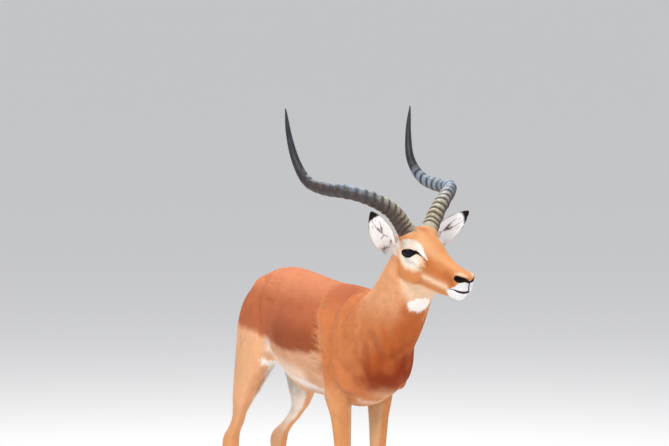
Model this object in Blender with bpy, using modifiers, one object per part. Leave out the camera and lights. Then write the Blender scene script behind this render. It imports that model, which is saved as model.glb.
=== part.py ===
"""Impala ram standing alert, life size: trunk, neck, head, tail, four legs, ears, eyes,
lyre horns and cloven hooves.

The flesh is modelled whole from named sections, joined with a voxel remesh, smoothed and
reduced, then parted into nodes with thin cuts. It faces +X, its left is +Y, the ground is z=0.
Sizes are in metres.
"""
import bpy
import bmesh
import math
import numpy as np
from mathutils import Matrix, Vector

# ---------------------------------------------------------------- driving sizes
GAP = 0.0003              # width of the thin cuts between nodes
VOXEL = 0.0055            # cell of the remesh that joins the flesh
FLESH_TRIS = 3900         # triangles of all the flesh before it is parted
ORIGIN_X = 0.1194         # moves the middle of the bounding box to x=0
ORIGIN_Y = 0.0688

HEAD_AT = (0.425, -0.006, 1.024)     # midway between the eyes
HEAD_YAW = math.radians(15.2)        # turned to its left
HEAD_PITCH = math.radians(15.0)      # nose down
HEAD_ROLL = math.radians(-2.5)       # right side up
HORN_TILT = math.radians(-3.4)       # the pair leans with the right horn higher

EYE_R = 0.0200
EYE_AT = (-0.020, 0.0480, 0.002)      # left eye in the head's frame

HORN_GIRTH = ((0.0, 0.0238), (0.2, 0.0210), (0.4, 0.0178), (0.55, 0.0154), (0.70, 0.0128),
              (0.82, 0.0098), (0.93, 0.0060), (1.0, 0.0015))   # share of length, radius
HORN_RINGS = 17

FAR_FORE_X = -0.032       # left foreleg stands this far behind the right one
FAR_HIND_X = -0.060       # left hind foot stands this far behind the right one
FAR_HIND_LEG = ((0.0, -0.060), (0.35, -0.057), (0.38, -0.048), (0.41, -0.028), (0.44, 0.000),
                (0.48, 0.038), (0.54, 0.042), (0.62, 0.020), (0.80, 0.0))   # height, shift of the left one

# trunk: x, back, widest level, belly, half width, roundness above, roundness below
TRUNK = (
    (0.228, 0.775, 0.735, 0.695, 0.030, 2.0, 2.0),
    (0.205, 0.820, 0.728, 0.650, 0.062, 2.0, 2.0),
    (0.150, 0.868, 0.720, 0.606, 0.087, 1.8, 2.0),
    (0.075, 0.893, 0.715, 0.572, 0.098, 1.6, 1.9),
    (0.000, 0.900, 0.710, 0.556, 0.102, 1.5, 2.0),
    (-0.080, 0.899, 0.715, 0.558, 0.111, 1.7, 2.0),
    (-0.170, 0.897, 0.725, 0.562, 0.120, 1.9, 2.0),
    (-0.260, 0.900, 0.735, 0.562, 0.125, 2.0, 1.9),
    (-0.350, 0.907, 0.745, 0.562, 0.121, 2.0, 1.7),
    (-0.430, 0.913, 0.760, 0.574, 0.112, 2.0, 1.6),
    (-0.500, 0.913, 0.775, 0.618, 0.104, 2.0, 1.8),
    (-0.570, 0.900, 0.785, 0.665, 0.096, 2.0, 2.0),
    (-0.630, 0.874, 0.795, 0.705, 0.080, 2.0, 2.0),
    (-0.668, 0.846, 0.795, 0.740, 0.050, 2.0, 2.0),
)
# neck: x, z of the middle, depth to the crest, depth to the throat, half width
NECK = (
    (0.020, 0.745, 0.145, 0.130, 0.086),
    (0.105, 0.790, 0.106, 0.140, 0.090),
    (0.190, 0.847, 0.086, 0.126, 0.086),
    (0.262, 0.911, 0.078, 0.102, 0.080),
    (0.322, 0.972, 0.074, 0.084, 0.075),
    (0.362, 1.022, 0.070, 0.070, 0.062),
)
# head, in its own frame: x, top, widest level, bottom, half width, roundness above and below
HEAD = (
    (-0.112, 0.026, 0.000, -0.040, 0.032, 2.0, 2.0),
    (-0.088, 0.048, 0.000, -0.084, 0.050, 2.2, 1.9),
    (-0.050, 0.061, 0.000, -0.104, 0.054, 2.4, 1.6),
    (-0.012, 0.0575, -0.004, -0.107, 0.0485, 2.3, 1.5),
    (0.030, 0.0435, -0.012, -0.103, 0.0420, 2.1, 1.5),
    (0.070, 0.0225, -0.022, -0.095, 0.0335, 2.0, 1.6),
    (0.110, 0.0110, -0.030, -0.086, 0.0265, 2.1, 1.8),
    (0.145, 0.0060, -0.035, -0.083, 0.0240, 2.2, 2.0),
    (0.168, 0.0020, -0.034, -0.069, 0.0235, 2.2, 2.2),
    (0.181, -0.003, -0.032, -0.056, 0.0165, 2.0, 2.0),
)
# fore leg: z, front, back, side offset, half width
FORELEG = (
    (0.800, 0.070, -0.060, 0.062, 0.022),
    (0.745, 0.104, -0.070, 0.064, 0.032),
    (0.690, 0.103, -0.078, 0.067, 0.036),
    (0.640, 0.060, -0.080, 0.071, 0.036),
    (0.600, 0.045, -0.072, 0.072, 0.034),
    (0.565, 0.046, -0.062, 0.070, 0.031),
    (0.530, 0.038, -0.045, 0.066, 0.0280),
    (0.490, 0.033, -0.036, 0.064, 0.0255),
    (0.450, 0.029, -0.030, 0.0625, 0.0235),
    (0.410, 0.026, -0.025, 0.061, 0.0205),
    (0.375, 0.026, -0.023, 0.060, 0.0195),
    (0.345, 0.028, -0.024, 0.0595, 0.0215),
    (0.315, 0.026, -0.024, 0.059, 0.0205),
    (0.290, 0.019, -0.022, 0.0585, 0.0160),
    (0.250, 0.015, -0.018, 0.058, 0.0135),
    (0.180, 0.014, -0.017, 0.0575, 0.0125),
    (0.140, 0.015, -0.019, 0.0575, 0.0135),
    (0.112, 0.021, -0.022, 0.0575, 0.0170),
    (0.085, 0.031, -0.012, 0.0575, 0.0150),
    (0.060, 0.041, -0.001, 0.0575, 0.0155),
    (0.040, 0.048, 0.003, 0.0575, 0.0178),
    (0.022, 0.054, 0.003, 0.0575, 0.0180),
)
# hind leg: z, front, back, side offset, half width
HINDLEG = (
    (0.870, -0.470, -0.600, 0.040, 0.040),
    (0.810, -0.440, -0.655, 0.056, 0.054),
    (0.745, -0.432, -0.680, 0.064, 0.059),
    (0.685, -0.442, -0.690, 0.067, 0.057),
    (0.640, -0.478, -0.694, 0.071, 0.052),
    (0.599, -0.522, -0.697, 0.075, 0.045),
    (0.545, -0.570, -0.703, 0.081, 0.035),
    (0.510, -0.600, -0.705, 0.085, 0.029),
    (0.471, -0.634, -0.710, 0.0875, 0.0195),
    (0.445, -0.648, -0.716, 0.0885, 0.0178),
    (0.414, -0.674, -0.740, 0.0900, 0.0175),
    (0.390, -0.690, -0.769, 0.0900, 0.0195),
    (0.362, -0.696, -0.780, 0.0900, 0.0212),
    (0.335, -0.703, -0.772, 0.0900, 0.0205),
    (0.300, -0.710, -0.759, 0.0890, 0.0172),
    (0.260, -0.712, -0.751, 0.0880, 0.0148),
    (0.190, -0.709, -0.745, 0.0870, 0.0133),
    (0.145, -0.705, -0.742, 0.0870, 0.0140),
    (0.115, -0.696, -0.742, 0.0870, 0.0174),
    (0.088, -0.684, -0.729, 0.0870, 0.0152),
    (0.062, -0.672, -0.717, 0.0870, 0.0155),
    (0.040, -0.664, -0.711, 0.0870, 0.0178),
    (0.022, -0.658, -0.711, 0.0870, 0.0180),
)
# tail: x, z, thickness, half width
TAIL = (
    (-0.640, 0.850, 0.030, 0.030),
    (-0.682, 0.832, 0.022, 0.024),
    (-0.712, 0.790, 0.014, 0.019),
    (-0.728, 0.725, 0.012, 0.019),
    (-0.736, 0.650, 0.012, 0.020),
    (-0.738, 0.580, 0.010, 0.018),
    (-0.736, 0.535, 0.004, 0.007),
)
# left horn's axis in the head's frame, base to tip
HORN_AXIS = (
    (-0.055, 0.040, 0.046), (-0.080, 0.082, 0.096), (-0.116, 0.136, 0.122),
    (-0.162, 0.185, 0.127), (-0.229, 0.200, 0.113), (-0.300, 0.205, 0.111),
    (-0.360, 0.206, 0.147), (-0.399, 0.215, 0.209), (-0.424, 0.225, 0.282),
)
# ear: share of its length, half width, depth of the cup
EAR = (
    (0.00, 0.0160, 0.0140), (0.12, 0.0200, 0.0185), (0.28, 0.0270, 0.0190),
    (0.45, 0.0315, 0.0155), (0.62, 0.0300, 0.0110), (0.80, 0.0215, 0.0060),
    (0.93, 0.0115, 0.0026), (1.00, 0.0038, 0.0008),
)
EAR_BASE = (-0.085, 0.054, -0.026)
EAR_RIGHT = (-0.006, 0.088, 0.129)   # root to tip, y is outward
EAR_LEFT = (0.010, 0.144, 0.103)
EAR_FACING = {-1: (0.86, 0.50, -0.10), 1: (0.86, -0.40, 0.05)}   # where each cup opens, y outward
EAR_WALL = 0.0030

# hoof claw: z, toe, heel, half width, all from the middle of the foot
CORONET_Z = 0.0360
CLAW = (
    (0.0360, 0.024, -0.022, 0.0085),
    (0.0200, 0.032, -0.025, 0.0095),
    (0.0000, 0.043, -0.029, 0.0102),
)
CLAW_APART = 0.0108       # from the middle of the foot to the middle of a claw
FORE_FOOT = (0.028, 0.0575)
HIND_FOOT = (-0.687, 0.0870)


# ---------------------------------------------------------------- small tools
def start_clean():
    for old in list(bpy.data.objects):
        bpy.data.objects.remove(old, do_unlink=True)


def collection(name):
    made = bpy.data.collections.new(name)
    bpy.context.scene.collection.children.link(made)
    return made


def material(name, colour, rough=0.8):
    made = bpy.data.materials.new(name)
    made.use_nodes = True
    shader = made.node_tree.nodes["Principled BSDF"]
    shader.inputs["Base Color"].default_value = (*colour, 1.0)
    shader.inputs["Roughness"].default_value = rough
    return made


def flowing(rows, steps):
    """Rows of sizes, eased through with a cubic so that sections flow into each other."""
    rows = np.array(rows, float)
    count = len(rows)
    slope = np.gradient(rows, axis=0)
    out = []
    for i in range(count - 1):
        for k in range(steps):
            t = k / steps
            h = (2 * t**3 - 3 * t**2 + 1, t**3 - 2 * t**2 + t,
                 -2 * t**3 + 3 * t**2, t**3 - t**2)
            out.append(h[0] * rows[i] + h[1] * slope[i] + h[2] * rows[i + 1] + h[3] * slope[i + 1])
    out.append(rows[-1])
    return np.array(out)


def rounded(angle, power):
    c, s = math.cos(angle), math.sin(angle)
    return (math.copysign(abs(c)**(2 / power), c), math.copysign(abs(s)**(2 / power), s))


def loft(name, rings, home, close=True):
    """A skin over rings of points, capped at both ends."""
    mesh = bpy.data.meshes.new(name)
    count = len(rings[0])
    verts = [tuple(p) for ring in rings for p in ring]
    faces = []
    for i in range(len(rings) - 1):
        for k in range(count):
            a, b = i * count + k, i * count + (k + 1) % count
            faces.append((a, b, b + count, a + count))
    faces.append(tuple(range(count))[::-1])
    faces.append(tuple((len(rings) - 1) * count + k for k in range(count)))
    mesh.from_pydata(verts, [], faces)
    made = bpy.data.objects.new(name, mesh)
    home.objects.link(made)
    tidy(made)
    return made


def tidy(thing):
    shell = bmesh.new()
    shell.from_mesh(thing.data)
    bmesh.ops.recalc_face_normals(shell, faces=shell.faces)
    shell.to_mesh(thing.data)
    shell.free()
    return thing


def head_turn():
    return (Matrix.Translation(HEAD_AT) @ Matrix.Rotation(HEAD_YAW, 4, 'Z')
            @ Matrix.Rotation(HEAD_PITCH, 4, 'Y') @ Matrix.Rotation(-HEAD_ROLL, 4, 'X'))


def ball(name, at, radii, home, place=Matrix(), turn=(0, 0, 0), cuts=3):
    bpy.ops.mesh.primitive_ico_sphere_add(subdivisions=cuts, radius=1.0)
    made = bpy.context.object
    made.name = made.data.name = name
    spin = Matrix.Rotation(turn[2], 4, 'Z') @ Matrix.Rotation(turn[1], 4, 'Y') @ Matrix.Rotation(turn[0], 4, 'X')
    made.data.transform(place @ Matrix.Translation(at) @ spin @ Matrix.Diagonal((*radii, 1.0)))
    for other in made.users_collection:
        other.objects.unlink(made)
    home.objects.link(made)
    return made


def applied(thing):
    """Bakes the modifiers of an object into its mesh."""
    graph = bpy.context.evaluated_depsgraph_get()
    baked = bpy.data.meshes.new_from_object(thing.evaluated_get(graph))
    thing.modifiers.clear()
    old, thing.data = thing.data, baked
    bpy.data.meshes.remove(old)
    baked.name = thing.name
    return thing


def joined(name, pieces, home):
    """One object from several, their meshes simply put together."""
    shell = bmesh.new()
    for piece in pieces:
        shell.from_mesh(piece.data)
        bpy.data.objects.remove(piece, do_unlink=True)
    mesh = bpy.data.meshes.new(name)
    shell.to_mesh(mesh)
    shell.free()
    made = bpy.data.objects.new(name, mesh)
    home.objects.link(made)
    return made


# ---------------------------------------------------------------- flesh
def body_rings(rows, across, steps):
    rings = []
    for x, top, mid, low, half, above, below in flowing(rows, steps):
        ring = []
        for k in range(across):
            angle = 2 * math.pi * k / across
            power = above if math.sin(angle) >= 0 else below
            c, s = rounded(angle, power)
            ring.append(Vector((x, half * c, mid + (top - mid if s >= 0 else mid - low) * s)))
        rings.append(ring)
    return rings


def neck_rings(rows, across, steps):
    rows = flowing(rows, steps)
    rings = []
    for i, (x, z, crest, throat, half) in enumerate(rows):
        ahead = rows[min(i + 1, len(rows) - 1)][:2] - rows[max(i - 1, 0)][:2]
        ahead = ahead / np.linalg.norm(ahead)
        up = (-ahead[1], ahead[0])
        ring = []
        for k in range(across):
            angle = 2 * math.pi * k / across
            c, s = rounded(angle, 1.85 if math.sin(angle) >= 0 else 2.0)
            depth = crest if s >= 0 else throat
            ring.append(Vector((x + up[0] * depth * s, half * c, z + up[1] * depth * s)))
        rings.append(ring)
    return rings


def leg_rings(rows, side, shift, across, steps):
    top = rows[0][0]
    rings = []
    for z, front, back, out, half in flowing(rows, steps):
        slide = shift(z)
        mid, reach = (front + back) / 2 + slide, (front - back) / 2
        ring = []
        for k in range(across):
            c, s = rounded(2 * math.pi * k / across, 2.15)
            ring.append(Vector((mid + reach * c, side * out + half * s, z)))
        rings.append(ring)
    return rings


def tail_rings(rows, across, steps):
    rows = flowing(rows, steps)
    rings = []
    for i, (x, z, thick, half) in enumerate(rows):
        ahead = rows[min(i + 1, len(rows) - 1)][:2] - rows[max(i - 1, 0)][:2]
        ahead = ahead / np.linalg.norm(ahead)
        up = (-ahead[1], ahead[0])
        rings.append([Vector((x + up[0] * thick * math.sin(a), half * math.cos(a),
                              z + up[1] * thick * math.sin(a)))
                      for a in (2 * math.pi * k / across for k in range(across))])
    return rings


def fore_shift(side):
    return lambda z: FAR_FORE_X * min(1.0, max(0.0, (0.72 - z) / 0.15)) if side > 0 else 0.0


def hind_shift(side):
    heights, slides = zip(*FAR_HIND_LEG)
    return lambda z: float(np.interp(z, heights, slides)) if side > 0 else 0.0


def flesh_pieces(home):
    """Overlapping solids of the trunk, neck, head, legs and tail with their main muscles."""
    place = head_turn()
    pieces = [loft("trunk_form", body_rings(TRUNK, 40, 3), home),
              loft("neck_form", neck_rings(NECK, 36, 3), home)]
    head = loft("head_form", body_rings(HEAD, 32, 3), home)
    head.data.transform(place)
    pieces.append(head)
    pieces.append(loft("tail_form", tail_rings(TAIL, 16, 3), home))
    for side, tag in ((-1, "right"), (1, "left")):
        fore, hind = fore_shift(side), hind_shift(side)
        pieces.append(loft("foreleg_form_" + tag, leg_rings(FORELEG, side, fore, 24, 3), home))
        pieces.append(loft("hindleg_form_" + tag, leg_rings(HINDLEG, side, hind, 28, 3), home))
        pieces.append(ball("shoulder_blade_" + tag, (0.030, side * 0.056, 0.780), (0.070, 0.036, 0.115),
                           home, turn=(side * 0.20, 0.38, 0)))
        pieces.append(ball("upper_arm_" + tag, (0.044, side * 0.076, 0.672), (0.080, 0.032, 0.050),
                           home, turn=(0, 0.75, 0)))
        pieces.append(ball("chest_muscle_" + tag, (0.140, side * 0.036, 0.690), (0.062, 0.042, 0.060),
                           home, turn=(0, 0.5, 0)))
        pieces.append(ball("croup_" + tag, (-0.530, side * 0.046, 0.828), (0.100, 0.050, 0.060),
                           home, turn=(side * 0.3, 0.15, 0)))
        pieces.append(ball("orbit_" + tag, (-0.016, side * 0.0440, 0.006), (0.0390, 0.0220, 0.0290),
                           home, place, (0, 0.1, -side * 0.25)))
        pieces.append(ball("cheek_" + tag, (-0.026, side * 0.030, -0.052), (0.050, 0.020, 0.040),
                           home, place, (0, 0.25, 0)))
        pieces.append(ball("cheek_bone_" + tag, (0.037, side * 0.037, -0.018), (0.046, 0.012, 0.012),
                           home, place, (0, 0.05, -side * 0.35)))
        pieces.append(ball("nostril_" + tag, (0.166, side * 0.013, -0.010), (0.020, 0.0115, 0.0125),
                           home, place, (0, 0.2, -side * 0.2)))
        pieces.append(ball("lip_" + tag, (0.158, side * 0.0125, -0.040), (0.028, 0.0130, 0.0135),
                           home, place, (0, 0.1, -side * 0.2)))
        pieces.append(ball("horn_boss_" + tag, (-0.046, side * 0.034, 0.036), (0.032, 0.026, 0.028),
                           home, place))
    pieces.append(ball("chin", (0.142, 0.0, -0.068), (0.027, 0.0150, 0.0160), home, place))
    pieces.append(ball("sheath", (-0.380, 0.0, 0.572), (0.070, 0.016, 0.018), home))
    return pieces


def smooth_weight(thing):
    """How freely each region may be eased: most on the trunk, least on the face and thin legs."""
    points = np.empty(len(thing.data.vertices) * 3)
    thing.data.vertices.foreach_get("co", points)
    points = points.reshape(-1, 3)
    weight = np.clip((points[:, 2] - 0.42) / 0.20, 0.12, 1.0)
    reach = np.linalg.norm(points - np.array(HEAD_AT), axis=1)
    weight = np.minimum(weight, np.clip((reach - 0.10) / 0.16, 0.16, 1.0))
    weight = np.where(points[:, 0] < -0.700, np.minimum(weight, 0.15), weight)
    group = thing.vertex_groups.new(name="ease")
    for step in range(21):
        share = step / 20
        chosen = np.nonzero(np.abs(weight - share) <= 0.025)[0]
        if len(chosen):
            group.add(chosen.tolist(), share, 'REPLACE')
    return group.name


def flesh(home):
    body = joined("flesh", flesh_pieces(home), home)
    cells = body.modifiers.new("join", 'REMESH')
    cells.mode = 'VOXEL'
    cells.voxel_size = VOXEL
    applied(body)
    ease = body.modifiers.new("ease", 'SMOOTH')
    ease.factor = 0.5
    ease.iterations = 20
    ease.vertex_group = smooth_weight(body)
    applied(body)
    less = body.modifiers.new("reduce", 'DECIMATE')
    less.ratio = 1.0
    bpy.context.view_layer.update()
    body.data.calc_loop_triangles()
    less.ratio = FLESH_TRIS / len(body.data.loop_triangles)
    less.use_collapse_triangulate = True
    applied(body)
    return body


# ---------------------------------------------------------------- ears, eyes, horns, hooves
def ear_rings(side, reach, place, wall):
    """A cupped leaf: each section is a crescent that opens forward."""
    base = Vector((EAR_BASE[0], side * EAR_BASE[1], EAR_BASE[2]))
    along = Vector((reach[0], side * reach[1], reach[2]))
    length = along.length
    axis = along.normalized()
    facing = Vector(EAR_FACING[side])
    facing.y *= side
    facing = (facing - axis * facing.dot(axis)).normalized()
    across = axis.cross(facing)
    rings = []
    for share, half, cup in flowing(EAR, 1):
        middle = base + axis * (length * share) + facing * (0.010 * math.sin(math.pi * share))
        ring = []
        for k in range(9):
            a = math.pi * k / 8
            ring.append(middle + across * (half * math.cos(a)) - facing * (cup * math.sin(a)))
        thin = min(wall, half * 0.7)
        for k in range(7, 0, -1):
            a = math.pi * k / 8
            ring.append(middle + across * ((half - thin * 0.6) * math.cos(a))
                        - facing * ((cup - thin) * math.sin(a)))
        rings.append([place @ p for p in ring])
    return rings


def horn_rings(side, place):
    """The lyre: a thick ridged lower part, then a smooth tapering point."""
    place = place @ Matrix.Rotation(HORN_TILT, 4, 'X')
    path = flowing(HORN_AXIS, 5)
    path[:, 1] *= side
    lengths = np.r_[0, np.cumsum(np.linalg.norm(np.diff(path, axis=0), axis=1))]
    share = lengths / lengths[-1]
    stations = np.r_[np.linspace(0.0, 0.72, HORN_RINGS * 2 + 1), np.linspace(0.75, 1.0, 8)]
    rings = []
    for i, t in enumerate(stations):
        at = np.array([np.interp(t, share, path[:, c]) for c in range(3)])
        ahead = np.array([np.interp(min(1, t + 0.02), share, path[:, c])
                          - np.interp(max(0, t - 0.02), share, path[:, c]) for c in range(3)])
        ahead = Vector(ahead).normalized()
        out = Vector((0.75, 0.0, 0.66))
        out = (out - ahead * out.dot(ahead)).normalized()
        beside = ahead.cross(out)
        radius = float(np.interp(t, *zip(*HORN_GIRTH)))
        radius *= 1.09 if (i % 2 and t < 0.70) else 1.0
        rings.append([place @ (Vector(at) + out * radius * 1.08 * math.cos(a)
                               + beside * radius * 0.94 * math.sin(a))
                      for a in (2 * math.pi * k / 10 for k in range(10))])
    return rings


def claw(name, foot, side, inner, shift, home):
    """One half of a cloven hoof: pointed ahead, blunt at the heel, flat below."""
    middle_x, middle_y = foot[0] + shift, side * foot[1] + inner * CLAW_APART
    rings = []
    for z, toe, heel, half in CLAW:
        ring = []
        for k in range(14):
            a = 2 * math.pi * k / 14
            c, s = math.cos(a), math.sin(a)
            x = toe * c if c > 0 else -heel * c
            y = half * math.copysign(abs(s)**(1.25 if c > 0 else 0.8), s)
            y = y * 0.92 if s * inner < 0 else y
            y -= inner * 0.004 * max(0.0, c)**2
            ring.append(Vector((middle_x + x, middle_y + y, z)))
        rings.append(ring)
    return loft(name, rings, home)


# ---------------------------------------------------------------- parting
def box_prism(outline, near, far):
    """Corners of a slab whose side view is the outline, between two values of y."""
    count = len(outline)
    verts = [(x, near, z) for x, z in outline] + [(x, far, z) for x, z in outline]
    faces = [tuple(range(count)), tuple(range(count, 2 * count))[::-1]]
    for k in range(count):
        n = (k + 1) % count
        faces.append((k, k + count, n + count, n))
    return verts, faces


def wrapper(name, outline, near, far, home):
    """A thin hollow case, used to cut a limb free of the body all round."""
    middle = np.mean(outline, axis=0)
    small = [tuple(middle + (np.array(p) - middle) * (1 - 2.4 * GAP)) for p in outline]
    inset = math.copysign(GAP, far - near)
    shell = bmesh.new()
    for line, a, b, inside in ((outline, near, far, False), (small, near + inset, far - inset, True)):
        verts, faces = box_prism(line, a, b)
        part = bpy.data.meshes.new(name)
        part.from_pydata(verts, [], faces)
        tool = bmesh.new()
        tool.from_mesh(part)
        bmesh.ops.recalc_face_normals(tool, faces=tool.faces)
        if inside:
            bmesh.ops.reverse_faces(tool, faces=tool.faces)
        tool.to_mesh(part)
        tool.free()
        shell.from_mesh(part)
        bpy.data.meshes.remove(part)
    mesh = bpy.data.meshes.new(name)
    shell.to_mesh(mesh)
    shell.free()
    made = bpy.data.objects.new(name, mesh)
    home.objects.link(made)
    return as_cutter(made)


def plate(name, place, size, home):
    """A thin plate across the body."""
    bpy.ops.mesh.primitive_cube_add(size=1.0)
    made = bpy.context.object
    made.name = made.data.name = name
    made.data.transform(place @ Matrix.Diagonal((GAP, size[0], size[1], 1.0)))
    for other in made.users_collection:
        other.objects.unlink(made)
    home.objects.link(made)
    return as_cutter(made)


def as_cutter(thing):
    thing.hide_render = True
    thing.display_type = 'WIRE'
    return thing


def cut(thing, tools, operation='DIFFERENCE'):
    for tool in tools:
        step = thing.modifiers.new("cut", 'BOOLEAN')
        step.operation = operation
        step.solver = 'EXACT'
        step.object = tool
    return applied(thing)


def loose_parts(thing, home):
    """Splits a mesh into its separate closed bodies."""
    whole = bmesh.new()
    whole.from_mesh(thing.data)
    whole.faces.ensure_lookup_table()
    seen, groups = set(), []
    for start in whole.faces:
        if start.index in seen:
            continue
        stack, group = [start], []
        seen.add(start.index)
        while stack:
            face = stack.pop()
            group.append(face.index)
            for edge in face.edges:
                for other in edge.link_faces:
                    if other.index not in seen:
                        seen.add(other.index)
                        stack.append(other)
        groups.append(set(group))
    parts = []
    for group in groups:
        piece = whole.copy()
        piece.faces.ensure_lookup_table()
        drop = [f for f in piece.faces if f.index not in group]
        bmesh.ops.delete(piece, geom=drop, context='FACES')
        mesh = bpy.data.meshes.new("part")
        piece.to_mesh(mesh)
        volume = piece.calc_volume()
        piece.free()
        made = bpy.data.objects.new("part", mesh)
        home.objects.link(made)
        points = np.array([v.co[:] for v in mesh.vertices])
        parts.append((abs(volume), points.mean(axis=0), made))
    whole.free()
    bpy.data.objects.remove(thing, do_unlink=True)
    return sorted(parts, key=lambda p: -p[0])


def named_flesh(body, home, tools):
    """Cuts the flesh into head, neck, trunk, tail and legs and names each by its place."""
    place = head_turn()
    head_plane = (place @ Matrix.Translation((-0.082, 0, -0.020)) @ Matrix.Rotation(math.radians(-20), 4, 'Y'))
    neck_plane = Matrix.Translation((0.135, 0, 0.800)) @ Matrix.Rotation(math.radians(-36), 4, 'Y')
    cutters = [plate("cut_head", head_plane, (0.30, 0.36), tools),
               plate("cut_neck", neck_plane, (0.40, 0.62), tools),
               wrapper("cut_tail", ((-0.698, 0.900), (-0.800, 0.900), (-0.800, 0.480), (-0.698, 0.480)),
                       -0.046, 0.046, tools)]
    for side, tag in ((-1, "right"), (1, "left")):
        fore = FAR_FORE_X if side > 0 else 0.0
        hind = FAR_HIND_X if side > 0 else 0.0
        cutters.append(wrapper("cut_foreleg_" + tag, (
            (fore + 0.105, 0.622), (fore - 0.100, 0.612), (fore - 0.100, -0.060), (fore + 0.105, -0.060)),
            side * 0.032, side * 0.220, tools))
        cutters.append(wrapper("cut_hindleg_" + tag, (
            (-0.400, 0.655), (-0.730, 0.765), (-0.860, 0.765), (-0.860, -0.060), (-0.400, -0.060)),
            side * 0.0235, side * 0.240, tools))
    cut(body, cutters)
    parts = loose_parts(body, home)
    wanted = {}
    for volume, middle, piece in parts[:8]:
        x, y, z = middle
        side = "_left" if y > 0 else "_right"
        if x > 0.33:
            name = "head"
        elif x > 0.12 and z > 0.70:
            name = "neck"
        elif x < -0.69 and abs(y) < 0.03:
            name = "tail"
        elif abs(y) < 0.02:
            name = "trunk"
        else:
            name = ("foreleg" if x > -0.3 else "hindleg") + side
        wanted[name] = piece
        piece.name = piece.data.name = name
    for volume, middle, piece in parts[8:]:
        bpy.data.objects.remove(piece, do_unlink=True)
    return wanted


def seal(thing):
    """Welds hairline edges left by the cuts and turns every face outward."""
    shell = bmesh.new()
    shell.from_mesh(thing.data)
    bmesh.ops.remove_doubles(shell, verts=shell.verts, dist=0.00005)
    bmesh.ops.dissolve_degenerate(shell, edges=shell.edges, dist=0.00005)
    bmesh.ops.triangulate(shell, faces=[f for f in shell.faces if len(f.verts) > 4])
    bmesh.ops.recalc_face_normals(shell, faces=shell.faces)
    shell.to_mesh(thing.data)
    shell.free()


def dress(thing, look, smooth=True):
    thing.data.materials.clear()
    thing.data.materials.append(look)
    thing.data.polygons.foreach_set("use_smooth", [smooth] * len(thing.data.polygons))


# ---------------------------------------------------------------- the whole animal
def build():
    start_clean()
    home = collection("impala_ram")
    tools = collection("cutters")
    place = head_turn()
    body = flesh(home)

    floor_cut = bpy.data.objects.new("cut_coronet", bpy.data.meshes.new("cut_coronet"))
    bottom = CORONET_Z + GAP
    verts, faces = box_prism(((-1.2, -0.2), (0.8, -0.2), (0.8, bottom), (-1.2, bottom)), -0.5, 0.5)
    floor_cut.data.from_pydata(verts, [], faces)
    tools.objects.link(as_cutter(tidy(floor_cut)))
    sockets = [floor_cut]
    eyes = {}
    for side, tag in ((-1, "right"), (1, "left")):
        at = (EYE_AT[0], side * EYE_AT[1], EYE_AT[2])
        sockets.append(as_cutter(ball("cut_socket_" + tag, at, (EYE_R + GAP,) * 3, tools, place)))
        opening = (at[0] + 0.0125, side * (EYE_AT[1] + 0.0150), at[2])
        sockets.append(as_cutter(ball("cut_lids_" + tag, opening, (0.0215, 0.0150, 0.0120), tools, place,
                                      (0, 0.28, -side * 0.45))))
        eyes[tag] = ball("eye_" + tag, at, (EYE_R,) * 3, home, place)
    cut(body, sockets)

    grown = bpy.data.objects.new("cut_flesh", body.data.copy())
    tools.objects.link(as_cutter(grown))
    swell = grown.modifiers.new("swell", 'DISPLACE')
    swell.strength = GAP * 1.6
    swell.mid_level = 0.0
    applied(grown)

    coat = material("coat_rufous", (0.36, 0.13, 0.045))
    fawn = material("coat_fawn", (0.50, 0.26, 0.11))
    horn_look = material("horn_grey", (0.10, 0.10, 0.095), 0.55)
    eye_look = material("eye_dark", (0.012, 0.008, 0.006), 0.08)
    hoof_look = material("hoof_black", (0.02, 0.018, 0.016), 0.5)
    ear_look = material("ear_pale", (0.55, 0.48, 0.42))

    for side, tag, reach in ((-1, "right", EAR_RIGHT), (1, "left", EAR_LEFT)):
        ear = loft("ear_" + tag, ear_rings(side, reach, place, EAR_WALL), home)
        cut(ear, [grown])
        horn = loft("horn_" + tag, horn_rings(side, place), home)
        cut(horn, [grown])
        for thing, look in ((ear, ear_look), (horn, horn_look)):
            kept = loose_parts(thing, home)
            for volume, middle, scrap in kept[1:]:
                bpy.data.objects.remove(scrap, do_unlink=True)
            thing = kept[0][2]
            thing.name = thing.data.name = ("ear_" if look is ear_look else "horn_") + tag
            seal(thing)
            dress(thing, look)
        dress(eyes[tag], eye_look)
        for foot, shift, where in ((FORE_FOOT, fore_shift(side)(0.03), "fore"),
                                   (HIND_FOOT, hind_shift(side)(0.03), "hind")):
            for inner, label in ((-side, "inner"), (side, "outer")):
                hoof = claw("hoof_%s_%s_%s" % (where, tag, label), foot, side, inner, shift, home)
                dress(hoof, hoof_look, smooth=False)

    for name, piece in named_flesh(body, home, tools).items():
        seal(piece)
        dress(piece, fawn if "leg" in name else coat)

    for thing in home.objects:
        thing.data.transform(Matrix.Translation((ORIGIN_X, ORIGIN_Y, 0.0)))
    for thing in tools.objects:
        thing.data.transform(Matrix.Translation((ORIGIN_X, ORIGIN_Y, 0.0)))


build()
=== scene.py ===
"""Impala ram standing alert, life size: one hide with lids, nostrils and mouth, a coat of small
lying tufts, glossy eyes, ringed lyre horns and cloven hooves.

Lengths are in metres. The animal's frame has the withers over x=0, the ground at z=0, the nose
towards +X and the left side at +Y; the head's own frame starts midway between the eyes. ORIGIN
moves the animal's frame to the row's. A side is -1 for the right and 1 for the left.
"""
import bpy
import bmesh
import math
import numpy as np
from mathutils import Matrix, Vector
from mathutils.bvhtree import BVHTree


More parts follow.
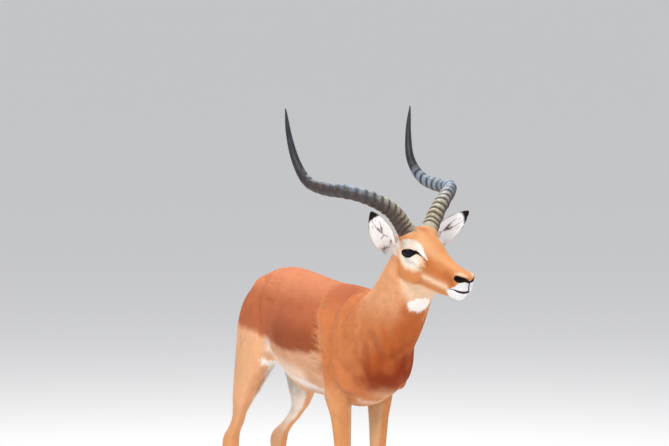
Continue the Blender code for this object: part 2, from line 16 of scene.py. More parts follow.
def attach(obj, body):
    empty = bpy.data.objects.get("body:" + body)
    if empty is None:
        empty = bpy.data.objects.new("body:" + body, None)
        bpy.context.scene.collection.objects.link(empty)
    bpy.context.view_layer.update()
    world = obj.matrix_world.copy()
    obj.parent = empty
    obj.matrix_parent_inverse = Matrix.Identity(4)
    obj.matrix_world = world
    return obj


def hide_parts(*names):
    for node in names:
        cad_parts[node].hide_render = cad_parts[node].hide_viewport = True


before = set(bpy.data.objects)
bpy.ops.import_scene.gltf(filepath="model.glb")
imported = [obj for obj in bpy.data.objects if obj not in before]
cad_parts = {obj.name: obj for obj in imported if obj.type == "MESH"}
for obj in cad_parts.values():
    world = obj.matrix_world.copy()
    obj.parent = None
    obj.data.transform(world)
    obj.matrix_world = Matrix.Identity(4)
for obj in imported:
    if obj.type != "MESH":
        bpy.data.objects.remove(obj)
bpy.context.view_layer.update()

ORIGIN = np.array((0.1194, 0.0688, 0.0))

# ---------------------------------------------------------------- shared with the part
HEAD_AT = (0.425, -0.006, 1.024)     # midway between the eyes
HEAD_YAW = math.radians(15.2)        # turned to its left
HEAD_PITCH = math.radians(15.0)      # nose down
HEAD_ROLL = math.radians(-2.5)       # right side up
HORN_TILT = math.radians(-3.4)       # the pair leans with the right horn higher

EYE_R = 0.0200
EYE_AT = (-0.020, 0.0480, 0.002)      # left eye in the head's frame

# share of the horn's length, radius
HORN_GIRTH = ((0.0, 0.0238), (0.2, 0.0210), (0.4, 0.0178), (0.55, 0.0154), (0.70, 0.0128),
              (0.82, 0.0098), (0.93, 0.0060), (1.0, 0.0015))

FAR_FORE_X = -0.032       # left foreleg stands this far behind the right one
# height, and how far ahead of the right hind leg the left one is there
FAR_HIND_LEG = ((0.0, -0.060), (0.35, -0.057), (0.38, -0.048), (0.41, -0.028), (0.44, 0.000),
                (0.48, 0.038), (0.54, 0.042), (0.62, 0.020), (0.80, 0.0))

# trunk: x, back, widest level, belly, half width, roundness above, roundness below
TRUNK = (
    (0.228, 0.775, 0.735, 0.695, 0.030, 2.0, 2.0),
    (0.205, 0.820, 0.728, 0.650, 0.062, 2.0, 2.0),
    (0.150, 0.868, 0.720, 0.606, 0.087, 1.8, 2.0),
    (0.075, 0.893, 0.715, 0.572, 0.098, 1.6, 1.9),
    (0.000, 0.900, 0.710, 0.556, 0.102, 1.5, 2.0),
    (-0.080, 0.899, 0.715, 0.558, 0.111, 1.7, 2.0),
    (-0.170, 0.897, 0.725, 0.562, 0.120, 1.9, 2.0),
    (-0.260, 0.900, 0.735, 0.562, 0.125, 2.0, 1.9),
    (-0.350, 0.907, 0.745, 0.562, 0.121, 2.0, 1.7),
    (-0.430, 0.913, 0.760, 0.574, 0.112, 2.0, 1.6),
    (-0.500, 0.913, 0.775, 0.618, 0.104, 2.0, 1.8),
    (-0.570, 0.900, 0.785, 0.665, 0.096, 2.0, 2.0),
    (-0.630, 0.874, 0.795, 0.705, 0.080, 2.0, 2.0),
    (-0.668, 0.846, 0.795, 0.740, 0.050, 2.0, 2.0),
)
# neck: x, z of the middle, depth to the crest, depth to the throat, half width
NECK = (
    (0.020, 0.745, 0.145, 0.130, 0.086),
    (0.105, 0.790, 0.106, 0.140, 0.090),
    (0.190, 0.847, 0.086, 0.126, 0.086),
    (0.262, 0.911, 0.078, 0.102, 0.080),
    (0.322, 0.972, 0.074, 0.084, 0.075),
    (0.362, 1.022, 0.070, 0.070, 0.062),
)
# head, in its own frame: x, top, widest level, bottom, half width, roundness above and below
HEAD = (
    (-0.112, 0.026, 0.000, -0.040, 0.032, 2.0, 2.0),
    (-0.088, 0.048, 0.000, -0.084, 0.050, 2.2, 1.9),
    (-0.050, 0.061, 0.000, -0.104, 0.054, 2.4, 1.6),
    (-0.012, 0.0575, -0.004, -0.107, 0.0485, 2.3, 1.5),
    (0.030, 0.0435, -0.012, -0.103, 0.0420, 2.1, 1.5),
    (0.070, 0.0225, -0.022, -0.095, 0.0335, 2.0, 1.6),
    (0.110, 0.0110, -0.030, -0.086, 0.0265, 2.1, 1.8),
    (0.145, 0.0060, -0.035, -0.083, 0.0240, 2.2, 2.0),
    (0.168, 0.0020, -0.034, -0.069, 0.0235, 2.2, 2.2),
    (0.181, -0.003, -0.032, -0.056, 0.0165, 2.0, 2.0),
)
# fore leg: z, front, back, side offset, half width
FORELEG = (
    (0.800, 0.070, -0.060, 0.062, 0.022),
    (0.745, 0.104, -0.070, 0.064, 0.032),
    (0.690, 0.103, -0.078, 0.067, 0.036),
    (0.640, 0.060, -0.080, 0.071, 0.036),
    (0.600, 0.045, -0.072, 0.072, 0.034),
    (0.565, 0.046, -0.062, 0.070, 0.031),
    (0.530, 0.038, -0.045, 0.066, 0.0280),
    (0.490, 0.033, -0.036, 0.064, 0.0255),
    (0.450, 0.029, -0.030, 0.0625, 0.0235),
    (0.410, 0.026, -0.025, 0.061, 0.0205),
    (0.375, 0.026, -0.023, 0.060, 0.0195),
    (0.345, 0.028, -0.024, 0.0595, 0.0215),
    (0.315, 0.026, -0.024, 0.059, 0.0205),
    (0.290, 0.019, -0.022, 0.0585, 0.0160),
    (0.250, 0.015, -0.018, 0.058, 0.0135),
    (0.180, 0.014, -0.017, 0.0575, 0.0125),
    (0.140, 0.015, -0.019, 0.0575, 0.0135),
    (0.112, 0.021, -0.022, 0.0575, 0.0170),
    (0.085, 0.031, -0.012, 0.0575, 0.0150),
    (0.060, 0.041, -0.001, 0.0575, 0.0155),
    (0.040, 0.048, 0.003, 0.0575, 0.0178),
    (0.022, 0.054, 0.003, 0.0575, 0.0180),
)
# hind leg: z, front, back, side offset, half width
HINDLEG = (
    (0.870, -0.470, -0.600, 0.040, 0.040),
    (0.810, -0.440, -0.655, 0.056, 0.054),
    (0.745, -0.432, -0.680, 0.064, 0.059),
    (0.685, -0.442, -0.690, 0.067, 0.057),
    (0.640, -0.478, -0.694, 0.071, 0.052),
    (0.599, -0.522, -0.697, 0.075, 0.045),
    (0.545, -0.570, -0.703, 0.081, 0.035),
    (0.510, -0.600, -0.705, 0.085, 0.029),
    (0.471, -0.634, -0.710, 0.0875, 0.0195),
    (0.445, -0.648, -0.716, 0.0885, 0.0178),
    (0.414, -0.674, -0.740, 0.0900, 0.0175),
    (0.390, -0.690, -0.769, 0.0900, 0.0195),
    (0.362, -0.696, -0.780, 0.0900, 0.0212),
    (0.335, -0.703, -0.772, 0.0900, 0.0205),
    (0.300, -0.710, -0.759, 0.0890, 0.0172),
    (0.260, -0.712, -0.751, 0.0880, 0.0148),
    (0.190, -0.709, -0.745, 0.0870, 0.0133),
    (0.145, -0.705, -0.742, 0.0870, 0.0140),
    (0.115, -0.696, -0.742, 0.0870, 0.0174),
    (0.088, -0.684, -0.729, 0.0870, 0.0152),
    (0.062, -0.672, -0.717, 0.0870, 0.0155),
    (0.040, -0.664, -0.711, 0.0870, 0.0178),
    (0.022, -0.658, -0.711, 0.0870, 0.0180),
)
# tail: x, z, thickness, half width
TAIL = (
    (-0.640, 0.850, 0.030, 0.030),
    (-0.682, 0.832, 0.022, 0.024),
    (-0.712, 0.790, 0.014, 0.019),
    (-0.728, 0.725, 0.012, 0.019),
    (-0.736, 0.650, 0.012, 0.020),
    (-0.738, 0.580, 0.010, 0.018),
    (-0.736, 0.535, 0.004, 0.007),
)
# left horn's axis in the head's frame, base to tip
HORN_AXIS = (
    (-0.055, 0.040, 0.046), (-0.080, 0.082, 0.096), (-0.116, 0.136, 0.122),
    (-0.162, 0.185, 0.127), (-0.229, 0.200, 0.113), (-0.300, 0.205, 0.111),
    (-0.360, 0.206, 0.147), (-0.399, 0.215, 0.209), (-0.424, 0.225, 0.282),
)
# ear: share of its length, half width, depth of the cup
EAR = (
    (0.00, 0.0160, 0.0140), (0.12, 0.0200, 0.0185), (0.28, 0.0270, 0.0190),
    (0.45, 0.0315, 0.0155), (0.62, 0.0300, 0.0110), (0.80, 0.0215, 0.0060),
    (0.93, 0.0115, 0.0026), (1.00, 0.0038, 0.0008),
)
EAR_BASE = (-0.085, 0.054, -0.026)
EAR_REACH = {-1: (-0.006, 0.088, 0.129), 1: (0.010, 0.144, 0.103)}   # root to tip, y outward
EAR_FACING = {-1: (0.86, 0.50, -0.10), 1: (0.86, -0.40, 0.05)}   # where each cup opens, y outward
EAR_BEND = 0.010          # how far the middle of an ear bows forward
EAR_WALL = 0.0052         # thickness of the hide's ears before they are eased

# hoof claw: z, toe, heel, half width, all from the middle of the foot
CORONET_Z = 0.0360
CLAW = (
    (0.0360, 0.024, -0.022, 0.0085),
    (0.0200, 0.032, -0.025, 0.0095),
    (0.0000, 0.043, -0.029, 0.0102),
)
CLAW_APART = 0.0108       # from the middle of the foot to the middle of a claw
FORE_FOOT = (0.028, 0.0575)
HIND_FOOT = (-0.687, 0.0870)

VOXEL = 0.0021     # cell of the remesh that fuses the hide
HIDE_TRIS = 150000
COAT_SHARE = 1.0
EASE = 75.6e-6                          # how far the forms flow into each other, in square metres
RNG = np.random.default_rng(20261)
BETWEEN = 6                             # rows from one row of a table to the next
ROUND_TRUNK, ROUND_NECK, ROUND_LEG = 80, 64, 48     # points round a ring


# ---------------------------------------------------------------- fields of numbers
def ramp(low, high, v):
    """A smooth step from 0 at low to 1 at high, which may be the smaller of the two."""
    t = np.clip((v - low) / (high - low), 0.0, 1.0)
    return t * t * (3 - 2 * t)


def bell(distance, width):
    return np.exp(-(distance / width)**2)


def blend(under, over, share):
    return under + (over - under) * np.clip(share, 0, 1)[:, None]


def blob(points, middle, radii=(1, 1, 1)):
    """Distance from a middle, in radii."""
    return np.linalg.norm((points - middle) / radii, axis=1)


def unit(vectors):
    return vectors / np.maximum(np.linalg.norm(vectors, axis=-1, keepdims=True), 1e-9)


def sided(place, side):
    """A place of the left side, on the given side."""
    return np.array((place[0], side * place[1], place[2]))


def grain(points, size, seed):
    """Smooth random numbers from 0 to 1, with bumps of the given size."""
    q = points / size + seed * 7.77
    cell = np.floor(q).astype(np.int64)
    f = q - cell
    f = f * f * (3 - 2 * f)
    total = np.zeros(len(points))
    for corner in range(8):
        d = ((corner >> 2) & 1, (corner >> 1) & 1, corner & 1)
        h = 0
        for k, prime in enumerate((73856093, 19349663, 83492791)):
            h = h ^ ((cell[:, k] + d[k]) * prime)
        h = (h ^ (h >> 13)) * 1274126177
        value = ((h ^ (h >> 16)) & 0xffff) / 65535.0
        share = np.ones(len(points))
        for k in range(3):
            share = share * (f[:, k] if d[k] else 1 - f[:, k])
        total += value * share
    return total


def along(points, path):
    """Distance to a path of straight lengths, and the share of the way along it."""
    path = np.asarray(path, float)
    lengths = np.linalg.norm(np.diff(path, axis=0), axis=1)
    starts = np.r_[0, np.cumsum(lengths)]
    near = np.full(len(points), np.inf)
    share = np.zeros(len(points))
    for k, length in enumerate(lengths):
        axis = (path[k + 1] - path[k]) / length
        t = np.clip((points - path[k]) @ axis, 0, length)
        d = np.linalg.norm(points - (path[k] + t[:, None] * axis), axis=1)
        closer = d < near
        near[closer] = d[closer]
        share[closer] = (starts[k] + t[closer]) / starts[-1]
    return near, share


def hermite(start, end, slope, end_slope, t):
    """A smooth way from start to end, at share t of it."""
    return ((2 * t**3 - 3 * t**2 + 1) * start + (t**3 - 2 * t**2 + t) * slope
            + (3 * t**2 - 2 * t**3) * end + (t**3 - t**2) * end_slope)


def flowing(rows, steps):
    """A table's rows with smooth rows between them."""
    rows = np.array(rows, float)
    slope = np.gradient(rows, axis=0)
    out = [hermite(rows[i], rows[i + 1], slope[i], slope[i + 1], t)
           for i in range(len(rows) - 1) for t in np.arange(steps) / steps]
    return np.array(out + [rows[-1]])


def column(table, which):
    return [row[which] for row in table]


# ---------------------------------------------------------------- meshes
HOME = bpy.data.collections.new("impala")
bpy.context.scene.collection.children.link(HOME)


def at_home(name, mesh):
    made = bpy.data.objects.new(name, mesh)
    HOME.objects.link(made)
    return made


def placed(name, verts, faces, turn=True):
    """A smooth object from points in the animal's frame, moved to the row's."""
    mesh = bpy.data.meshes.new(name)
    mesh.from_pydata((verts + ORIGIN).tolist(), [], faces)
    if turn:
        turned_out(mesh)
    mesh.polygons.foreach_set("use_smooth", [True] * len(mesh.polygons))
    return at_home(name, mesh)


def turned_out(mesh):
    shell = bmesh.new()
    shell.from_mesh(mesh)
    bmesh.ops.recalc_face_normals(shell, faces=shell.faces)
    shell.to_mesh(mesh)
    shell.free()


def coords(mesh, field="co"):
    out = np.empty(len(mesh.vertices) * 3)
    mesh.vertices.foreach_get(field, out)
    return out.reshape(-1, 3)


def triangles(mesh, field="vertices"):
    mesh.calc_loop_triangles()
    out = np.empty(len(mesh.loop_triangles) * 3, int)
    mesh.loop_triangles.foreach_get(field, out)
    return out.reshape(-1, 3)


def paint(mesh, colours):
    layer = mesh.color_attributes.new("coat", 'FLOAT_COLOR', 'POINT')
    rgba = np.c_[colours, np.ones(len(colours))]
    layer.data.foreach_set("color", rgba.astype(np.float32).ravel())


def finished(thing, look, nodes=()):
    thing.data.materials.clear()
    thing.data.materials.append(look)
    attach(thing, "root")
    if nodes:
        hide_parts(*nodes)


def circle(count):
    return 2 * np.pi * np.arange(count) / count


def turn_round(count, power=2.0):
    """Cosine and sine of a squarish ring."""
    a = circle(count)
    c, s = np.cos(a), np.sin(a)
    return np.sign(c) * np.abs(c)**(2 / power), np.sign(s) * np.abs(s)**(2 / power)


def band(low, high, count):
    """Faces between two rings of points that start at the given numbers."""
    k = np.arange(count)
    on = (k + 1) % count
    return np.c_[low + k, low + on, high + on, high + k].tolist()


def stack(rings):
    """Points and faces of a skin over rings, capped at both ends."""
    rings = np.asarray(rings)
    rows, count = rings.shape[:2]
    faces = []
    for i in range(rows - 1):
        faces += band(i * count, (i + 1) * count, count)
    faces.append(list(range(count))[::-1])
    faces.append(list(range((rows - 1) * count, rows * count)))
    return rings.reshape(-1, 3), faces


def moved(points, matrix):
    m = np.array(matrix)
    return points @ m[:3, :3].T + m[:3, 3]


HEAD_PLACE = (Matrix.Translation(HEAD_AT) @ Matrix.Rotation(HEAD_YAW, 4, 'Z')
              @ Matrix.Rotation(HEAD_PITCH, 4, 'Y') @ Matrix.Rotation(-HEAD_ROLL, 4, 'X'))
HEAD_BACK = HEAD_PLACE.inverted()
HEAD_TURN = np.array(HEAD_PLACE)[:3, :3]


def head_coords(points):
    return moved(points, HEAD_BACK)


def mirrored(q):
    """Both sides of the head laid on its left."""
    return np.c_[q[:, 0], np.abs(q[:, 1]), q[:, 2]]


# ---------------------------------------------------------------- forms of the flesh
def body_form(rows):
    """The trunk or the head, with an upper and a lower half of their own in each ring."""
    rings = []
    for x, top, mid, low, half, above, below in flowing(rows, BETWEEN):
        c_up, s_up = turn_round(ROUND_TRUNK, above)
        c_low, s_low = turn_round(ROUND_TRUNK, below)
        c = np.where(s_up >= 0, c_up, c_low)
        s = np.where(s_up >= 0, s_up * (top - mid), s_low * (mid - low))
        rings.append(np.c_[np.full(ROUND_TRUNK, x), half * c, mid + s])
    return stack(rings)


def tube_form(rows, power=2.0):
    """The neck (five numbers a row) or the tail (four): rings across a bending axis."""
    rows = flowing(rows, BETWEEN)
    rings = []
    for i, row in enumerate(rows):
        x, z, half = row[0], row[1], row[-1]
        ahead = rows[min(i + 1, len(rows) - 1)][:2] - rows[max(i - 1, 0)][:2]
        ahead = ahead / np.linalg.norm(ahead)
        c_low, s_low = turn_round(ROUND_NECK)
        c_up, s_up = turn_round(ROUND_NECK, power)
        c, s = np.where(s_low >= 0, c_up, c_low), np.where(s_low >= 0, s_up, s_low)
        deep = np.where(s >= 0, row[2], row[3] if len(row) == 5 else row[2]) * s
        rings.append(np.c_[x - ahead[1] * deep, half * c, z + ahead[0] * deep])
    return stack(rings)


def fore_shift(z):
    """How far ahead of the right foreleg the left one is at each height."""
    return FAR_FORE_X * np.clip((0.72 - z) / 0.15, 0, 1)


def hind_shift(z):
    return np.interp(z, *zip(*FAR_HIND_LEG))


def leg_form(rows, side, shift):
    rows = flowing(rows, BETWEEN)
    rows = rows[rows[:, 0] > CORONET_Z + 0.0025]
    c, s = turn_round(ROUND_LEG, 2.15)
    rings = []
    for z, front, back, out, half in rows:
        mid = (front + back) / 2 + (shift(z) if side > 0 else 0.0)
        rings.append(np.c_[mid + (front - back) / 2 * c, side * out + half * s, np.full(ROUND_LEG, z)])
    return stack(rings)


def ear_axes(side):
    """Along an ear, across it, and where its cup faces, in the head's frame."""
    axis = Vector(sided(EAR_REACH[side], side)).normalized()
    facing = Vector(sided(EAR_FACING[side], side))
    facing = (facing - axis * facing.dot(axis)).normalized()
    return np.array(axis), np.array(axis.cross(facing)), np.array(facing)


def ear_form(side):
    base, span = Vector(sided(EAR_BASE, side)), Vector(sided(EAR_REACH[side], side))
    axis, across, facing = ear_axes(side)
    rings = []
    a = np.pi * np.arange(25) / 24
    b = a[-2:0:-1]
    for share, half, cup in flowing(EAR, 4):
        bow = EAR_BEND * math.sin(math.pi * share)
        middle = np.array(base) + axis * (span.length * share) + facing * bow
        thin = min(EAR_WALL, half * 0.8)
        deep = cup + EAR_WALL * 0.25
        outer = middle + np.outer(half * np.cos(a), across) - np.outer(deep * np.sin(a), facing)
        inner = (middle + np.outer((half - thin * 0.6) * np.cos(b), across)
                 - np.outer((deep - thin) * np.sin(b), facing))
        rings.append(np.r_[outer, inner])
    return stack(rings)


def ball_form(at, radii, turn, side=1):
    """An egg of flesh; its place and its turns about x, y and z are those of the left side."""
    ball = bmesh.new()
    bmesh.ops.create_icosphere(ball, subdivisions=4, radius=1.0)
    spin = (Matrix.Rotation(side * turn[2], 4, 'Z') @ Matrix.Rotation(turn[1], 4, 'Y')
            @ Matrix.Rotation(side * turn[0], 4, 'X'))
    place = Matrix.Translation(sided(at, side)) @ spin @ Matrix.Diagonal((*radii, 1.0))
    verts = [place @ v.co for v in ball.verts]
    faces = [[v.index for v in f.verts] for f in ball.faces]
    ball.free()
    return np.array(verts), faces


# eggs of flesh that swell the skin: place, radii, turns; those of the sides are for the left
SHEATH = ((-0.380, 0.0, 0.572), (0.070, 0.016, 0.018), (0, 0, 0))
CHIN = ((0.142, 0.0, -0.068), (0.027, 0.0150, 0.0160), (0, 0, 0))
BODY_EGGS = (
    ((0.030, 0.056, 0.780), (0.070, 0.036, 0.115), (0.20, 0.38, 0)),          # shoulder blade
    ((0.044, 0.076, 0.672), (0.080, 0.032, 0.050), (0, 0.75, 0)),             # upper arm
    ((0.140, 0.036, 0.690), (0.062, 0.042, 0.060), (0, 0.5, 0)),              # breast
    ((-0.530, 0.046, 0.828), (0.100, 0.050, 0.060), (0.3, 0.15, 0)),          # hip
)
HEAD_EGGS = (
    ((-0.016, 0.0440, 0.006), (0.0390, 0.0220, 0.0290), (0, 0.1, -0.25)),     # eye socket
    ((-0.026, 0.030, -0.052), (0.050, 0.020, 0.040), (0, 0.25, 0)),           # jaw muscle
    ((0.037, 0.037, -0.018), (0.046, 0.012, 0.012), (0, 0.05, -0.35)),        # cheek bone
    ((0.166, 0.013, -0.010), (0.020, 0.0115, 0.0125), (0, 0.2, -0.2)),        # nostril
    ((0.158, 0.0125, -0.040), (0.028, 0.0130, 0.0135), (0, 0.1, -0.2)),       # upper lip
    ((-0.046, 0.034, 0.036), (0.032, 0.026, 0.028), (0, 0, 0)),               # horn's root
)


def flesh_forms():
    """Every overlapping form: on the body in the animal's frame, on the head in its own."""
    body = [body_form(TRUNK), tube_form(NECK, 1.85), tube_form(TAIL), ball_form(*SHEATH)]
    head = [body_form(HEAD), ball_form(*CHIN)]
    for side in (-1, 1):
        body += [leg_form(FORELEG, side, fore_shift), leg_form(HINDLEG, side, hind_shift)]
        body += [ball_form(*egg, side) for egg in BODY_EGGS]
        head += [ball_form(*egg, side) for egg in HEAD_EGGS] + [ear_form(side)]
    return body, head


def ear_frame(q, side):
    """Share along an ear, place across it from -1 to 1, and how far in front of its axis."""
    axis, across, facing = ear_axes(side)
    rel = q - sided(EAR_BASE, side)
    share = rel @ axis / np.linalg.norm(EAR_REACH[side])
    half = np.interp(share, column(EAR, 0), column(EAR, 1))
    ahead = rel @ facing - EAR_BEND * np.sin(np.pi * np.clip(share, 0, 1))
    return share, (rel @ across) / half, ahead


def ear_mask(q):
    """1 on the free part of either ear, 0 elsewhere."""
    found = np.zeros(len(q))
    for side in (-1, 1):
        share, across, ahead = ear_frame(q, side)
        near = (np.abs(across) < 1.35) & (ahead > -0.034) & (ahead < 0.02) & (share < 1.2)
        found = np.maximum(found, np.where(near, ramp(0.10, 0.30, share), 0))
    return found


def ear_inside(q):
    """1 in the hollow of an ear, 0 elsewhere."""
    found = np.zeros(len(q))
    for side in (-1, 1):
        share, across, ahead = ear_frame(q, side)
        bowl = np.interp(share, column(EAR, 0), column(EAR, 2)) * np.sqrt(np.clip(1 - across**2, 0, 1))
        inside = (ahead > -bowl + 0.0005) & (ahead < 0.020) & (share > -0.02) & (share < 1.0)
        found = np.maximum(found, inside & (np.abs(across) < 0.96))
    return found


def ease_share(points):
    """How freely each region may be eased: most on the trunk, least on face, ears and thin legs."""
    share = np.clip((points[:, 2] - 0.42) / 0.20, 0.12, 1.0)
    share = np.minimum(share, np.clip((blob(points, HEAD_AT) - 0.10) / 0.16, 0.16, 1.0))
    share = np.where(points[:, 0] < -0.700, np.minimum(share, 0.15), share)
    return share * (1 - 0.97 * ear_mask(head_coords(points)))


def grouped(thing, name, share, levels):
    """A vertex group that holds each point's share, in levels."""
    group = thing.vertex_groups.new(name=name)
    step = np.round(share * levels).astype(int)
    for level in range(1, levels + 1):
        chosen = np.nonzero(step == level)[0]
        if len(chosen):
            group.add(chosen.tolist(), level / levels, 'REPLACE')
    return group.name


def applied(thing):
    graph = bpy.context.evaluated_depsgraph_get()
    baked = bpy.data.meshes.new_from_object(thing.evaluated_get(graph))
    thing.modifiers.clear()
    thing.vertex_groups.clear()
    old, thing.data = thing.data, baked
    bpy.data.meshes.remove(old)


def eased(hide, name, amount, share, levels):
    """Lets the forms flow into each other, by the amount where the share is 1."""
    ease = hide.modifiers.new(name, 'SMOOTH')
    ease.factor = 0.5
    ease.iterations = int(amount / (0.5 * VOXEL**2 / 4))
    ease.vertex_group = grouped(hide, name, share, levels)
    applied(hide)


def fused():
    """The flesh in one closed mesh: fused, eased and reduced everywhere but on the head."""
    shell = bmesh.new()
    for forms, place in zip(flesh_forms(), (Matrix(), HEAD_PLACE)):
        for verts, faces in forms:
            mesh = bpy.data.meshes.new("form")
            mesh.from_pydata(verts.tolist(), [], faces)
            mesh.transform(place)
            turned_out(mesh)
            shell.from_mesh(mesh)
            bpy.data.meshes.remove(mesh)
    mesh = bpy.data.meshes.new("hide")
    shell.to_mesh(mesh)
    shell.free()
    hide = at_home("hide", mesh)
    cells = hide.modifiers.new("fuse", 'REMESH')
    cells.mode = 'VOXEL'
    cells.voxel_size = VOXEL
    applied(hide)
    eased(hide, "ease", EASE, ease_share(coords(hide.data)), 48)
    x, _, z = coords(hide.data).T
    join = ramp(0.0994, 0.1694, x) * ramp(0.4194, 0.3394, x) * ramp(0.62, 0.68, z) * ramp(0.96, 0.90, z)
    eased(hide, "flow", 2.2 * EASE, join, 24)
    q = head_coords(coords(hide.data))
    keep = np.maximum(ramp(-0.16, -0.08, q[:, 0]) * ramp(-0.19, -0.13, q[:, 2]), ear_mask(q))
    less = hide.modifiers.new("reduce", 'DECIMATE')
    less.vertex_group = grouped(hide, "less", 1 - keep, 24)
    less.vertex_group_factor = 1.0
    less.ratio = min(1.0, HIDE_TRIS / (2.0 * len(hide.data.polygons)))
    applied(hide)
    return hide


# ---------------------------------------------------------------- the eye's opening
FAR = 99.0      # millimetres
# the opening's edge in degrees, forward along the lids and up, from the back corner over the top
EYE_EDGE = ((-51, -4), (-37, 12), (-10, 23), (18, 28), (40, 24), (56, 12), (58, 4), (42, -5), (27, -18),
            (8, -26), (-16, -22), (-40, -14))


def eye_axes(side):
    """Outward, forward along the lids, and up, in the head's frame."""
    out = Vector((0.50, side * 0.865, 0.05)).normalized()
    ahead = Vector((0.865, -side * 0.50, 0.03))
    ahead = (ahead - out * ahead.dot(out)).normalized()
    up = ahead.cross(out) * side
    return np.array(out), np.array(ahead), np.array(up)


def eye_edge(steps=9):
    """The opening's smooth closed edge, as angles along and up."""
    rows = np.radians(np.array(EYE_EDGE, float))
    slope = (np.roll(rows, -1, axis=0) - np.roll(rows, 1, axis=0)) / 2
    t = (np.arange(steps) / steps)[None, :, None]
    after, slope_after = np.roll(rows, -1, axis=0)[:, None], np.roll(slope, -1, axis=0)[:, None]
    return hermite(rows[:, None], after, slope[:, None], slope_after, t).reshape(-1, 2)


def eye_angles(q, side):
    """Distance from an eye's middle, angles along its lids and up, and that middle."""
    centre = sided(EYE_AT, side)
    out, ahead, up = eye_axes(side)
    u = unit(q - centre)
    a = np.arctan2(u @ ahead, u @ out)
    b = np.arcsin(np.clip(u @ up, -1, 1))
    return blob(q, centre), a, b, centre


def eye_gap(a, b):
    """Angle from the edge of the opening: negative inside it."""
    edge = eye_edge()
    after = np.roll(edge, -1, axis=0)
    spot = np.c_[a, b]
    near = np.full(len(a), np.inf)
    inside = np.zeros(len(a), bool)
    for p, n in zip(edge, after):
        way = n - p
        t = np.clip((spot - p) @ way / (way @ way), 0, 1)
        near = np.minimum(near, np.linalg.norm(spot - p - t[:, None] * way, axis=1))
        crosses = (p[1] > b) != (n[1] > b)
        inside ^= crosses & (a < p[0] + (b - p[1]) / np.where(crosses, n[1] - p[1], 1.0) * way[0])
    return np.where(inside, -near, near)


def eye_distance(q):
    """Millimetres from the nearer eye's opening, along its lids; FAR where neither is near."""
    found = np.full(len(q), FAR)
    for side in (-1, 1):
        r, a, b, _ = eye_angles(q, side)
        near = (r < 0.06) & (np.abs(a) < 1.9)
        found[near] = np.minimum(found[near], eye_gap(a[near], b[near]) * EYE_R * 1000)
    return found


# ---------------------------------------------------------------- refining and carving the hide
# lines of the face on the head's left, in its own frame
MOUTH = ((0.1840, 0.000, -0.0475), (0.1780, 0.0110, -0.0478), (0.1640, 0.0200, -0.0484),
         (0.1460, 0.0235, -0.0505), (0.1215, 0.0225, -0.0580))
NOSTRIL = ((0.1475, 0.0240, -0.0180), (0.1580, 0.0240, -0.0165), (0.1680, 0.0215, -0.0145),
           (0.1755, 0.0165, -0.0130))
NOSE_V = ((0.1735, 0.0175, -0.0110), (0.1805, 0.0110, -0.0145), (0.1830, 0.0040, -0.0195),
          (0.1840, 0.0, -0.0215))
PHILTRUM = ((0.1850, 0.0, -0.0190), (0.1850, 0.0, -0.0300), (0.1840, 0.0, -0.0470))
TEAR = ((0.000, 0.058, 0.0085), (0.010, 0.052, 0.0080), (0.018, 0.046, 0.0050), (0.0265, 0.042, 0.0015))


def refined(hide):
    """Halves the faces round the eyes, nose and mouth, where lids and nostrils are carved."""
    shell = bmesh.new()
    shell.from_mesh(hide.data)
    for round_eye, round_muzzle in ((0.036, 0.012), (0.029, 0.0065)):
        q = mirrored(head_coords(np.array([v.co[:] for v in shell.verts])))
        muzzle = np.min([along(q, path)[0] for path in (NOSTRIL, MOUTH, PHILTRUM)], axis=0)
        chosen = (blob(q, EYE_AT) < round_eye) | (muzzle < round_muzzle)
        edges = [e for e in shell.edges if chosen[e.verts[0].index] and chosen[e.verts[1].index]]
        bmesh.ops.subdivide_edges(shell, edges=edges, cuts=1, use_grid_fill=True)
        bmesh.ops.triangulate(shell, faces=[f for f in shell.faces if len(f.verts) > 4])
        shell.verts.index_update()
    shell.to_mesh(hide.data)
    shell.free()


def coat_depth(points, q, ears):
    """How far the hide lies under the solids' surface."""
    depth = np.interp(points[:, 2], (0.05, 0.35, 0.55, 0.65), (0.0010, 0.0012, 0.0022, 0.0030))
    depth = np.where(q[:, 0] > -0.10, np.interp(q[:, 0], (-0.10, 0.0, 0.10), (0.0025, 0.0012, 0.0008)), depth)
    return depth * (1 - ears)


